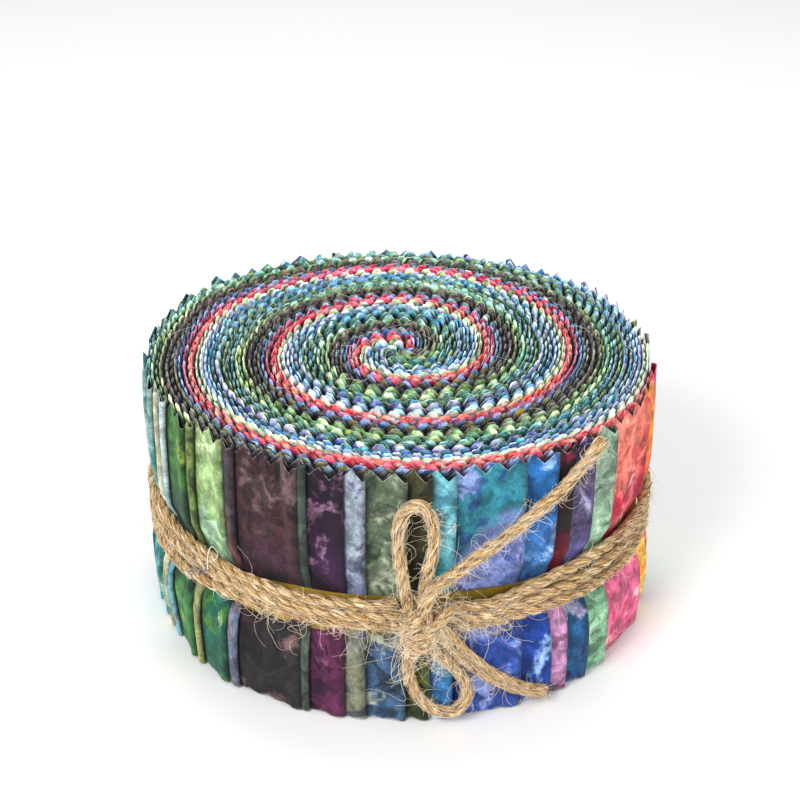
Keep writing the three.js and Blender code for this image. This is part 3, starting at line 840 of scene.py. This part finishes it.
def zone_joints(sides):
    """Which points of neighbouring zones are the same, and the faces that close the rest."""
    weld = {}
    fans = []
    for before, after in zip(sides[:-1], sides[1:]):
        for coarse, fine in zip(before, after):
            one, two = coarse[-1], fine[0]
            for k in (0, -2, -1):
                weld[int(two[k])] = int(one[k])
            if len(one) != len(two):
                ring = one if len(one) > len(two) else two
                fan = [weld.get(i, i) for i in ring[:-1].tolist()]
                fans.append(fan if (coarse is before[0]) == (ring is one) else fan[::-1])
    return weld, fans


def without_loose_points(points, faces, marks):
    """The same mesh without the points that no face uses."""
    used = np.zeros(len(points), bool)
    used[np.unique([i for face in faces for i in face])] = True
    renumber = np.cumsum(used) - 1
    faces = [[int(renumber[i]) for i in face] for face in faces]
    return points[used], faces, {key: values[used] for key, values in marks.items()}


def strip_surface(folded, top, foot, foot_teeth, curl):
    """The strip's cloth with its thickness: points, faces and marks."""
    turn = np.radians(folded["degrees"])
    radial = np.stack([np.cos(turn), np.sin(turn)], axis=1)
    line = folded["out"][:, None] * radial
    along = unit(np.gradient(line, axis=0))
    side = np.stack([along[:, 1], -along[:, 0]], axis=1)
    points = []
    faces = []
    marks = {"edge": [], "bare": [], "painted_gap_shade": []}
    sides = []
    total = 0
    for begin, end, rows in point_zones(folded["depth"]):
        stations = slice(begin, end + 1)
        length = end + 1 - begin
        up = np.tile(np.array([0.0, *rows, 0.0]), (length, 1))
        up[:, 0] = foot[stations]
        up[:, -1] = top[stations]
        levels = up.shape[1]
        degrees, deep = folded["degrees"][stations, None], folded["depth"][stations, None]
        inset = wall_inset(degrees, up, deep)
        flat = 1.0 - WAIST_FLATTENS * np.clip(inset / WAIST_MOST, 0, 1)
        pull = ripple(degrees, up, deep) + folded["puff"][stations, None] * flat - inset
        pull[:, -1] += curl[stations]
        pull[:, 0] -= FOOT_DRAWN_IN * foot_teeth[stations]
        edge = np.clip(np.minimum(top[stations, None] - up, up - foot[stations, None]), 0, 5)
        columns = []
        for sign in (1.0, -1.0):
            plan = line[stations, None, :] + sign * CLOTH / 2 * side[stations, None, :]
            plan = plan + pull[..., None] * radial[stations, None, :]
            points.append(np.concatenate([plan, up[..., None]], axis=2).reshape(-1, 3))
            marks["edge"].append(edge.ravel())
            for key in ("bare", "painted_gap_shade"):
                marks[key].append(np.repeat(folded[key][stations], levels))
            ids = total + np.arange(length * levels).reshape(length, levels)
            faces += grid_faces(ids, turned=sign < 0)
            columns.append(ids)
            total += length * levels
        right, left = columns
        faces += grid_faces(np.stack([right[:, -1], left[:, -1]], axis=1))
        faces += grid_faces(np.stack([right[:, 0], left[:, 0]], axis=1), turned=True)
        sides.append((right, left))

    weld, fans = zone_joints(sides)
    faces = [[weld.get(i, i) for i in face] for face in faces + fans]
    (first_right, first_left), (last_right, last_left) = sides[0], sides[-1]
    faces += grid_faces(np.stack([first_right[0], first_left[0]], axis=1), turned=True)
    faces += grid_faces(np.stack([last_right[-1], last_left[-1]], axis=1))
    marks = {key: np.concatenate(values) for key, values in marks.items()}
    return without_loose_points(np.concatenate(points), faces, marks)


def strip_mesh(number, strip, bundle, rng, material):
    """A folded strip: two layers wound to the heart, joined by the fold that shows."""
    sway = rng.uniform(0, math.tau, 3)
    phase = PHASE_SPREAD * rng.standard_normal()
    outer = layer_run(2 * number, bundle, phase)
    inner = layer_run(2 * number + 1, bundle, phase + FOLDED_SPREAD * rng.standard_normal())
    folded = folded_run(number, outer, inner)
    lift = bundle.lift + uneven_lift(rng)
    lift = lift + LIFTS.get(number, 0.0) * np.clip(1.0 - folded["depth"] / SKIN, 0, 1)
    flips = rng.integers(0, 2, 2)
    edges = cut_edges(folded, bundle, lift, sway, flips)
    points, faces, marks = strip_surface(folded, *edges)
    return mesh_piece(f"strip_{number:02d}_{strip.name}", points, faces, material, marks)


def wind_strips(batik_and_painted_light, weave):
    rng = np.random.default_rng(STRIPS_SEED)
    bundles = wound_bundles(rng)
    for number, strip in enumerate(STRIPS):
        material = strip_material(strip, number, batik_and_painted_light, weave)
        piece = strip_mesh(number, strip, bundles[number], rng, material)
        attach(piece, "root")
        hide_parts("fabric_roll")


# The ribbon


def ribbon_ring(weave):
    """The flat ribbon under the twine: a thin band that follows the waist."""
    heights = np.linspace(RIBBON_TOP - RIBBON_WIDTH, RIBBON_TOP, RIBBON_ROWS)
    flare = np.clip((heights - RIBBON_TOP + RIBBON_LIP) / RIBBON_LIP, 0, 1) * RIBBON_FLARE
    rows = np.arange(RIBBON_ROWS)
    loop = np.concatenate([rows, rows[::-1]])
    thick = np.repeat([RIBBON_THICKNESS, 0.0], RIBBON_ROWS)
    points = []
    for i in range(RIBBON_POINTS_ROUND):
        turn = math.tau * i / RIBBON_POINTS_ROUND
        wave = 0.10 * math.sin(6 * turn + 0.7) + 0.06 * math.sin(15 * turn)
        out = RIBBON_INSIDE + flare[loop] + thick + wave * 0.3
        sunk = np.interp(math.degrees(turn), RIBBON_DEGREES, RIBBON_SUNK)
        up = heights[loop] + wave - sunk
        points.append(np.stack([out * math.cos(turn), out * math.sin(turn), up], axis=1))
    ids = np.arange(RIBBON_POINTS_ROUND * len(loop)).reshape(RIBBON_POINTS_ROUND, len(loop))
    ids = np.concatenate([ids, ids[:1]])
    ids = np.concatenate([ids, ids[:, :1]], axis=1)
    faces = grid_faces(ids)
    piece = mesh_piece("ribbon_band", np.concatenate(points), faces, ribbon_material(weave))
    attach(piece, "root")
    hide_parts("retaining_ribbon")


# The twine

TWINE_SEED = 7
PLY_OFFSET = 0.32
PLY_RADIUS = 1.03
PLY_TWIST = 8.2
ROPE_SIDES = 22
ROPE_STEP = 0.48
FIBRE_LAY = 0.3
LEVEL = np.array([1.0, 1.0, 0.0])

# The grooves between a ply's fibres: their depth, how many lie round it, and how they wander
Groove = namedtuple("Groove", "depth count period wander")
GROOVES = [Groove(0.09, 5, 3.7, 2.5), Groove(0.07, 9, 2.3, 3.5)]


def between(t, start, end, first, last):
    """The point at t on the way from one that lies at start to one at end."""
    return (end - t) / (end - start) * first + (t - start) / (end - start) * last


def smooth_route(places, count=400):
    """A centripetal Catmull-Rom curve through the places, as points."""
    knots = np.array([at(p) for p in places])
    knots = np.concatenate([[2 * knots[0] - knots[1]], knots, [2 * knots[-1] - knots[-2]]])
    points = []
    for i in range(1, len(knots) - 2):
        p0, p1, p2, p3 = knots[i - 1 : i + 3]
        t1 = np.linalg.norm(p1 - p0) ** 0.5
        t2 = t1 + np.linalg.norm(p2 - p1) ** 0.5
        t3 = t2 + np.linalg.norm(p3 - p2) ** 0.5
        t = np.linspace(t1, t2, count // len(places) + 2)[:-1, None]
        a1 = between(t, 0.0, t1, p0, p1)
        a2 = between(t, t1, t2, p1, p2)
        a3 = between(t, t2, t3, p2, p3)
        b1 = between(t, 0.0, t2, a1, a2)
        b2 = between(t, t1, t3, a2, a3)
        points.append(between(t, t1, t2, b1, b2))
    points.append(knots[-2][None, :])
    return np.concatenate(points)


def spaced(points, step):
    """The same line with its points evenly spaced, and its length."""
    run = run_along(points)
    marks = np.linspace(0.0, run[-1], max(2, round(run[-1] / step)) + 1)
    return np.stack([np.interp(marks, run, points[:, k]) for k in range(3)], axis=1), run[-1]


def frames_along(points):
    """Two directions square to the line at each point, carried along without turning."""
    along = unit(np.gradient(points, axis=0))
    first = np.cross(along[0], [0.0, 0.0, 1.0])
    if np.linalg.norm(first) < 0.1:
        first = np.cross(along[0], [1.0, 0.0, 0.0])
    firsts = [unit(first)]
    for direction in along[1:]:
        firsts.append(unit(firsts[-1] - direction * np.dot(firsts[-1], direction)))
    firsts = np.array(firsts)
    return firsts, np.cross(along, firsts)


def tube(points, radius):
    """A closed tube along a line, by its radius at each point and each place round it."""
    normal, cross = frames_along(points)
    around = math.tau * np.arange(radius.shape[1]) / radius.shape[1]
    square = np.cos(around)[:, None] * normal[:, None, :] + np.sin(around)[:, None] * cross[:, None, :]
    shape = points[:, None, :] + radius[..., None] * square
    ids = np.arange(radius.size).reshape(radius.shape)
    faces = grid_faces(np.concatenate([ids, ids[:, :1]], axis=1), turned=True)
    faces += [ids[0].tolist(), ids[-1][::-1].tolist()]
    return shape.reshape(-1, 3), faces


def rope_shape(line, rng, offset=PLY_OFFSET, size=PLY_RADIUS):
    """Two plies laid round each other along a line: points, faces and the fibres' run."""
    points, length = spaced(line, ROPE_STEP)
    run = np.linspace(0.0, length, len(points))
    around = math.tau * np.arange(ROPE_SIDES) / ROPE_SIDES
    sway = rng.uniform(0, math.tau, 5)
    uneven = 1.0 + 0.06 * np.sin(run / 2.9 + sway[0]) + 0.04 * np.sin(run / 1.3 + sway[1])
    twist = math.tau * run / PLY_TWIST + 0.35 * np.sin(run / 6.1 + sway[2])
    local = around[None, :] - twist[:, None]
    across = np.abs(np.cos(local))
    radius = offset * across + np.sqrt(size**2 - (offset * np.sin(local)) ** 2)
    lay = around[None, :] - FIBRE_LAY * twist[:, None]
    relief = 0.04 * np.sin(12 * lay + run[:, None] / 1.9)
    for groove, start in zip(GROOVES, sway[3:]):
        wander = groove.wander * np.sin(run / groove.period + start)[:, None]
        relief += groove.depth * np.sin(groove.count * lay + wander)
    relief += 0.03 * rng.standard_normal(radius.shape)
    ends = np.minimum(1.0, 0.62 + 0.38 * np.minimum(run, length - run) / 0.8)
    radius = (radius + relief) * (uneven * ends)[:, None]
    shape, faces = tube(points, radius)
    # The groove mark says where the plies meet, for the painted shade there
    marks = {
        "strand_x": (1.4 * np.cos(lay)).ravel(),
        "strand_y": (1.4 * np.sin(lay)).ravel(),
        "strand_z": np.repeat(run * 0.1, ROPE_SIDES) + rng.uniform(0, 50),
        "groove": np.clip((1.0 - across * 3.0) * min(1.0, offset / PLY_OFFSET), 0, 1).ravel(),
    }
    return shape, faces, marks


def split_shapes(line, rng):
    """The untwisted end of the twine: its two plies side by side, which draw together."""
    points, length = spaced(line, ROPE_STEP)
    along = np.gradient(points, axis=0)
    beside = unit(np.cross(along, points * LEVEL))
    run = np.linspace(0.0, 1.0, len(points))
    gap = np.interp(run, [0.0, 0.25, 0.8, 1.0], [0.75, 1.0, 0.7, 0.6])
    wave = 0.12 * np.sin(run * length / 3.1)
    shapes = []
    for sign in (1.0, -1.0):
        ply = points + (sign * gap + wave)[:, None] * beside
        shapes.append(rope_shape(ply, rng, 0.0, 0.92))
    return shapes


def joined(parts):
    """Several shapes as one: points, faces and marks."""
    points = []
    faces = []
    marks = {}
    total = 0
    for shape, part_faces, part_marks in parts:
        points.append(shape)
        faces += [[i + total for i in face] for face in part_faces]
        for key, values in part_marks.items():
            marks.setdefault(key, []).append(values)
        total += len(shape)
    return np.concatenate(points), faces, {k: np.concatenate(v) for k, v in marks.items()}


def wrap_line():
    """The twine's three turns round the waist, which climb one place behind the knot."""
    degrees = np.linspace(WRAP_START, 360.0 * WRAP_TURNS + WRAP_END, 3000)
    turned = np.floor((degrees - CLIMB_FROM) / 360.0)
    within = degrees - CLIMB_FROM - 360.0 * turned
    share = np.clip(within / (CLIMB_TO - CLIMB_FROM), 0, 1)
    level = turned - 1 + share * share * (3 - 2 * share)
    place = (degrees - WRAP_HEIGHTS[0].degrees) % 360.0 + WRAP_HEIGHTS[0].degrees
    table = np.array(WRAP_HEIGHTS)
    low, middle, high = (np.interp(place, table[:, 0], table[:, k]) for k in (1, 2, 3))
    up = low + (middle - low) * np.clip(level, 0, 1) + (high - middle) * np.clip(level - 1, 0, 1.5)
    turn = np.radians(degrees)
    up += 0.12 * np.sin(turn * 4.3 + turned) + 0.08 * np.sin(turn * 9.7 + 2.0 * turned)
    crowd = np.clip(3.0 - (high - low) / 2, 0, 1) * np.clip(1.0 - np.abs(level - 1), 0, 1)
    left = (place - 180.0) / 40.0
    out = WRAP_OUT + 0.9 * crowd + 0.08 * np.sin(turn * 7.1 + turned) - 0.5 * np.exp(-left * left)
    return np.stack([out * np.cos(turn), out * np.sin(turn), up], axis=1)


# Where the lowest turn frays most, in degrees along the twine
FRAYED = [(233.0, 269.0), (-80.5, -66.0)]

KNOT = Place(-85.0, 63.4, 28.0)

# The knot's strands, by how far each of their places lies to the side, up and out of its middle
Step = namedtuple("Step", "side rise out")
KNOT_BIGHTS = [
    table(
        Step,
        (-3.5, -2.9, 1.0), (-2.0, -2.2, 2.0), (-0.3, -1.0, 2.6), (1.6, 0.7, 2.4),
        (3.5, 2.5, 1.6), (5.4, 4.4, 0.2),
    ),
    table(
        Step,
        (1.6, -1.3, 1.5), (0.9, -3.5, 1.8), (-1.0, -4.6, 1.6), (-3.1, -3.8, 1.0),
        (-4.1, -1.7, 0.6), (-3.7, 0.1, 0.8), (-2.2, 1.3, 0.8),
    ),
    table(
        Step,
        (-1.9, 3.6, -0.6), (-2.2, 1.0, 0.3), (-2.0, -1.6, 0.3), (-1.4, -3.4, -0.5),
    ),
    table(
        Step,
        (0.6, 3.8, 0.2), (1.0, 1.4, 0.9), (1.4, -1.2, 0.7), (1.6, -3.2, -0.3),
    ),
    table(
        Step,
        (-4.8, 0.2, -0.8), (-2.5, 0.6, 0.5), (0.0, 0.8, 0.9), (2.5, 1.0, 0.6),
        (4.6, 1.2, -0.8),
    ),
    table(
        Step,
        (-0.7, 3.6, 1.9), (-1.6, 1.8, 1.9), (-2.8, 0.2, 1.2), (-3.6, -1.6, 0.0),
    ),
]


# Loose fibres: where they may lie, their sizes, and how they hug the twine or stand away
HAIR_CLEAR = 59.4
HAIR_FAR = 73.0
HAIR_LOW = 0.15
HAIR_STEP = 0.8
HAIR_SIZES = (0.035, 0.065)
LONG_SIZES = (0.035, 0.055)
HUG_RADIUS = 1.36
STAND_FROM = 1.2
CURL = 0.55
LONG_CURL = 0.9
BENDS = 7
BENDS_WHEN_LONG = 12
LONG_FROM = 9.0

# How many fibres a millimetre of twine has, and how far they reach; and the long ones
Fuzz = namedtuple("Fuzz", "hugging hug_reach standing reach")
CORD_FUZZ = Fuzz(2.4, 9.0, 1.8, 6.0)
WRAP_FUZZ = Fuzz(0.7, 9.0, 0.6, 6.0)
KNOT_FUZZ = Fuzz(0.6, 7.0, 0.5, 6.0)
LongFibres = namedtuple("LongFibres", "count low high")
FRAYED_FIBRES = LongFibres(110, 4.0, 17.0)
KNOT_FIBRES = LongFibres(34, 9.0, 30.0)
BOW_FIBRES = [
    (UPPER_TAIL, LongFibres(50, 5.0, 16.0)),
    (LOWER_TAIL, LongFibres(40, 5.0, 15.0)),
    (UPPER_LOOP, LongFibres(30, 5.0, 16.0)),
]


def knot_place(step):
    degrees = KNOT.degrees + math.degrees(step.side / KNOT.out)
    return Place(degrees, KNOT.out + step.out, KNOT.up + step.rise)


def hair_shape(points, thickness, pale):
    """One fibre along its points: three sides, thinner towards its end."""
    size = thickness * np.linspace(1.0, 0.5, len(points))
    shape, faces = tube(points, np.tile(size[:, None], (1, 3)))
    return shape, faces, {"pale": np.full(len(shape), pale)}


def kept_clear(points):
    """The same fibre, but outside the wall and above the floor."""
    points = np.array(points)
    out = np.maximum(np.linalg.norm(points[:, :2], axis=1), 1e-6)
    points[:, :2] *= (np.clip(out, HAIR_CLEAR, HAIR_FAR) / out)[:, None]
    points[:, 2] = np.maximum(points[:, 2], HAIR_LOW)
    return points


def flyaway(start, heading, length, rng, curl=CURL):
    """The points of a fibre that curls away from the twine."""
    bends = BENDS if length < LONG_FROM else BENDS_WHEN_LONG
    spin = rng.standard_normal(3) * curl
    direction = unit(heading)
    spots = [start]
    for _ in range(bends):
        direction = direction + np.cross(spin, direction) * 0.4 + rng.standard_normal(3) * 0.12
        direction[2] -= 0.03
        direction = unit(direction)
        spots.append(spots[-1] + direction * length / bends)
    return kept_clear(spots)


def fibres_on(line, each_mm, reach, rng, hugging=False):
    """Loose fibres on a rope: some hug it, and others stand away."""
    even, length = spaced(line, HAIR_STEP)
    normal, cross = frames_along(even)
    hairs = []
    for _ in range(int(length * each_mm)):
        i = int(rng.integers(1, len(even) - 1))
        turn = rng.uniform(0, math.tau)
        size = rng.uniform(*HAIR_SIZES)
        away = unit(even[i] * LEVEL)
        outward = normal[i] * math.cos(turn) + cross[i] * math.sin(turn)
        if np.dot(outward, away) < -0.2:
            turn += math.pi
            outward = -outward
        if hugging:
            count = min(len(even) - i, int(rng.uniform(3, reach) / HAIR_STEP) + 2)
            if count < 3:
                continue
            share = np.linspace(0, 1, count)
            turns = turn + rng.uniform(-0.9, 0.9) * share
            rise = HUG_RADIUS + rng.uniform(0.05, 0.5) * share**2
            stem = even[i : i + count]
            stem = stem + (rise * np.cos(turns))[:, None] * normal[i : i + count]
            stem = stem + (rise * np.sin(turns))[:, None] * cross[i : i + count]
            hairs.append(hair_shape(kept_clear(stem), size, rng.uniform(0, 1)))
            continue
        along = unit(even[i + 1] - even[i - 1])
        heading = outward * rng.uniform(0.3, 1.0) + along * rng.uniform(-1.4, 1.4) + away * 0.25
        far = 2.0 + (reach - 2.0) * rng.uniform(0, 1) ** 2.0
        stem = flyaway(even[i] + outward * STAND_FROM, heading, far, rng)
        hairs.append(hair_shape(stem, size, rng.uniform(0, 1)))
    return hairs


def fuzz_on(line, fuzz, rng):
    hairs = fibres_on(line, fuzz.hugging, fuzz.hug_reach, rng, hugging=True)
    return hairs + fibres_on(line, fuzz.standing, fuzz.reach, rng)


def long_fibres(line, fibres, rng):
    """Long fine fibres that curl away from a rope over the cloth."""
    hairs = []
    for _ in range(fibres.count):
        start = line[int(rng.integers(0, len(line)))]
        outward = unit(start * LEVEL)
        beside = np.cross(outward, [0.0, 0.0, 1.0])
        turn = rng.uniform(0, math.tau)
        heading = math.cos(turn) * beside + math.sin(turn) * np.array([0.0, 0.0, 1.0])
        heading += outward * rng.uniform(0.0, 0.7)
        length = fibres.low + (fibres.high - fibres.low) * rng.uniform(0, 1) ** 1.5
        stem = flyaway(start + 0.8 * outward, heading, length, rng, LONG_CURL)
        hairs.append(hair_shape(stem, rng.uniform(*LONG_SIZES), rng.uniform(0.3, 1.0)))
    return hairs


def fibre_material(name, first, second):
    material, tree, shader = plain_material(name, 0.7)
    colour = mix_node(tree, attribute_node(tree, "pale"), srgb(first), srgb(second))
    tree.links.new(colour, shader.inputs["Base Color"])
    return material


def tie_twine(fibre):
    material = twine_material(fibre)
    rng = np.random.default_rng(TWINE_SEED)
    hairs = []

    def piece(name, node, parts):
        points, faces, marks = joined(parts)
        rope = mesh_piece(name, points, faces, material, marks, sharp=75.0)
        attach(rope, "root")
        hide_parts(node)
        return rope

    cords = [
        ("twine_loop_upper", "bow_loop_upper", UPPER_LOOP, "object"),
        ("twine_loop_lower", "bow_loop_lower", LOWER_LOOP, "object"),
        ("twine_tail_upper", "tail_upper", UPPER_TAIL, "bare"),
        ("twine_tail_lower", "tail_lower", LOWER_TAIL, "bare"),
    ]
    for name, node, places, far_end in cords:
        line = smooth_route(places)
        split = places is LOWER_TAIL
        rope = piece(name, node, split_shapes(line, rng) if split else [rope_shape(line, rng)])
        hairs += fuzz_on(line, CORD_FUZZ, rng)

    wraps = wrap_line()
    piece("twine_round_waist", "twine_wraps", [rope_shape(wraps, rng)])
    hairs += fuzz_on(wraps, WRAP_FUZZ, rng)
    turned = np.linspace(WRAP_START, 360.0 * WRAP_TURNS + WRAP_END, len(wraps))
    for begin, end in FRAYED:
        frayed = wraps[(turned > begin) & (turned < end)]
        hairs += long_fibres(frayed, FRAYED_FIBRES, rng)

    bights = [smooth_route([knot_place(s) for s in steps], 60) for steps in KNOT_BIGHTS]
    piece("twine_knot", "knot", [rope_shape(line, rng) for line in bights])
    for line in bights:
        hairs += fuzz_on(line, KNOT_FUZZ, rng)
    for line in bights[:3]:
        hairs += long_fibres(line, KNOT_FIBRES, rng)
    for route, fibres in BOW_FIBRES:
        hairs += long_fibres(smooth_route(route), fibres, rng)
    points, faces, marks = joined(hairs)
    straw = fibre_material("loose_jute", "#d4b080", "#fff6e0")
    fuzz = mesh_piece("jute_fuzz", points, faces, straw, marks, sharp=180.0)
    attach(fuzz, "root")


# Loose threads

THREADS_SEED = 12
THREADS_ON_TOP = 90
THREAD_LENGTHS = (3.0, 13.0)
THREAD_SIZES = (0.03, 0.055)
THREAD_BOW = 0.5
THREAD_HEIGHT = 63.5
THREAD_LOOP = table(
    Place,
    (-133.4, 61.0, 29.6), (-132.9, 61.4, 32.4), (-132.2, 61.6, 35.2), (-131.0, 61.7, 37.0),
    (-129.8, 61.6, 36.2), (-130.0, 61.5, 34.4), (-131.6, 61.6, 33.0), (-133.6, 61.8, 31.2),
)
THREAD_LOOP_SIZE = 0.13
TANGLE = Place(-134.5, 62.4, 29.4)
TANGLE_THREADS = 12
TANGLE_LENGTHS = (2.5, 4.5)
TANGLE_SIZES = (0.07, 0.12)
TANGLE_CURL = 1.6
TANGLE_SPREAD = np.array([2.2, 0.4, 1.2])


def scatter_threads():
    """Fine threads from the cut edges on the top, and a thread caught in the twine."""
    rng = np.random.default_rng(THREADS_SEED)
    threads = []
    for _ in range(THREADS_ON_TOP):
        out = ROLL_RADIUS * math.sqrt(rng.uniform(0.02, 0.94))
        spot = at(Place(rng.uniform(0, 360), out, THREAD_HEIGHT + rng.uniform(0, 0.5)))
        share = np.linspace(0, 1, 8)
        turn = rng.uniform(0, math.tau) + rng.uniform(-1.2, 1.2) * share
        step = rng.uniform(*THREAD_LENGTHS) / len(share)
        points = spot + np.stack([np.cos(turn), np.sin(turn), 0 * turn], axis=1).cumsum(axis=0) * step
        points[:, 2] += THREAD_BOW * np.sin(math.pi * share)
        points[:, :2] *= min(1.0, ROLL_RADIUS / np.linalg.norm(points[-1, :2]))
        threads.append(hair_shape(points, rng.uniform(*THREAD_SIZES), rng.uniform(0.6, 1.0)))
    threads.append(hair_shape(smooth_route(THREAD_LOOP, 40), THREAD_LOOP_SIZE, 1.0))
    for _ in range(TANGLE_THREADS):
        spot = at(TANGLE) + rng.uniform(-1, 1, 3) * TANGLE_SPREAD
        stem = flyaway(spot, rng.standard_normal(3), rng.uniform(*TANGLE_LENGTHS), rng, TANGLE_CURL)
        threads.append(hair_shape(stem, rng.uniform(*TANGLE_SIZES), rng.uniform(0.0, 0.3)))
    points, faces, marks = joined(threads)
    material = fibre_material("loose_cotton", "#4c5f86", "#f4f2e6")
    piece = mesh_piece("loose_threads", points, faces, material, marks, sharp=180.0)
    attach(piece, "root")


# The studio

CAMERA_PLACE = Vector((0.12, -380.3, 244.1)) * MM
CAMERA_PITCH = math.radians(27.12)
CAMERA_ROLL = math.radians(0.47)
CAMERA_LENS = 81.0

# The lights, in metres and watts, all turned to one place
LIT_PLACE = Vector((0.0, 0.0, 0.03))
Light = namedtuple("Light", "name place size power")
LIGHTS = [
    Light("key_softbox", (-0.5, -0.7, 0.65), 0.5, 9.0),
    Light("fill_softbox", (0.7, -0.5, 0.35), 0.6, 3.5),
    Light("top_softbox", (0.0, 0.35, 0.9), 0.5, 3.5),
]
FLOOR_SIZE = 6.0
FLOOR_COLOUR = grey(0.9)
SKY_COLOUR = grey(1.0)
SKY_STRENGTH = 0.5


def set_camera():
    data = bpy.data.cameras.new("photo_view")
    data.lens = CAMERA_LENS
    data.sensor_width = 36.0
    data.clip_start = 0.01
    camera = bpy.data.objects.new("photo_view", data)
    turn = Matrix.Rotation(math.pi / 2 - CAMERA_PITCH, 4, "X") @ Matrix.Rotation(CAMERA_ROLL, 4, "Z")
    camera.matrix_world = Matrix.Translation(CAMERA_PLACE) @ turn
    bpy.context.scene.collection.objects.link(camera)
    bpy.context.scene.camera = camera


def area_light(light):
    data = bpy.data.lights.new(light.name, "AREA")
    data.shape = "DISK"
    data.size = light.size
    data.energy = light.power
    lamp = bpy.data.objects.new(light.name, data)
    lamp.location = light.place
    lamp.rotation_euler = (LIT_PLACE - Vector(light.place)).to_track_quat("-Z", "Y").to_euler()
    bpy.context.scene.collection.objects.link(lamp)


def set_studio():
    bpy.ops.mesh.primitive_plane_add(size=FLOOR_SIZE)
    floor = bpy.context.active_object
    floor.name = "studio_floor"
    material, _, shader = plain_material("studio_white", 0.9)
    shader.inputs["Base Color"].default_value = FLOOR_COLOUR
    floor.data.materials.append(material)
    world = bpy.data.worlds.new("studio_sky")
    world.use_nodes = True
    sky = world.node_tree.nodes["Background"]
    sky.inputs["Color"].default_value = SKY_COLOUR
    sky.inputs["Strength"].default_value = SKY_STRENGTH
    bpy.context.scene.world = world
    for light in LIGHTS:
        area_light(light)
    bpy.context.scene.view_settings.view_transform = "Standard"
    bpy.context.scene.view_settings.look = "None"


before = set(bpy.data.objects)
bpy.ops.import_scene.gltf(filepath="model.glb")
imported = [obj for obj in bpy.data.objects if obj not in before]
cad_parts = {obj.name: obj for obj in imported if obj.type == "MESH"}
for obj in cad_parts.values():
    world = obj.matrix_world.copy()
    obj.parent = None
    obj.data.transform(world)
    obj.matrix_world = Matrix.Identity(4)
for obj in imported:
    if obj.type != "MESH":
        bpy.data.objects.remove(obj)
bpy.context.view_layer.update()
set_camera()
tie_twine(fibre_group())
weave_effect = weave_group()
wind_strips(batik_and_painted_light_group(), weave_effect)
ribbon_ring(weave_effect)
scatter_threads()
set_studio()
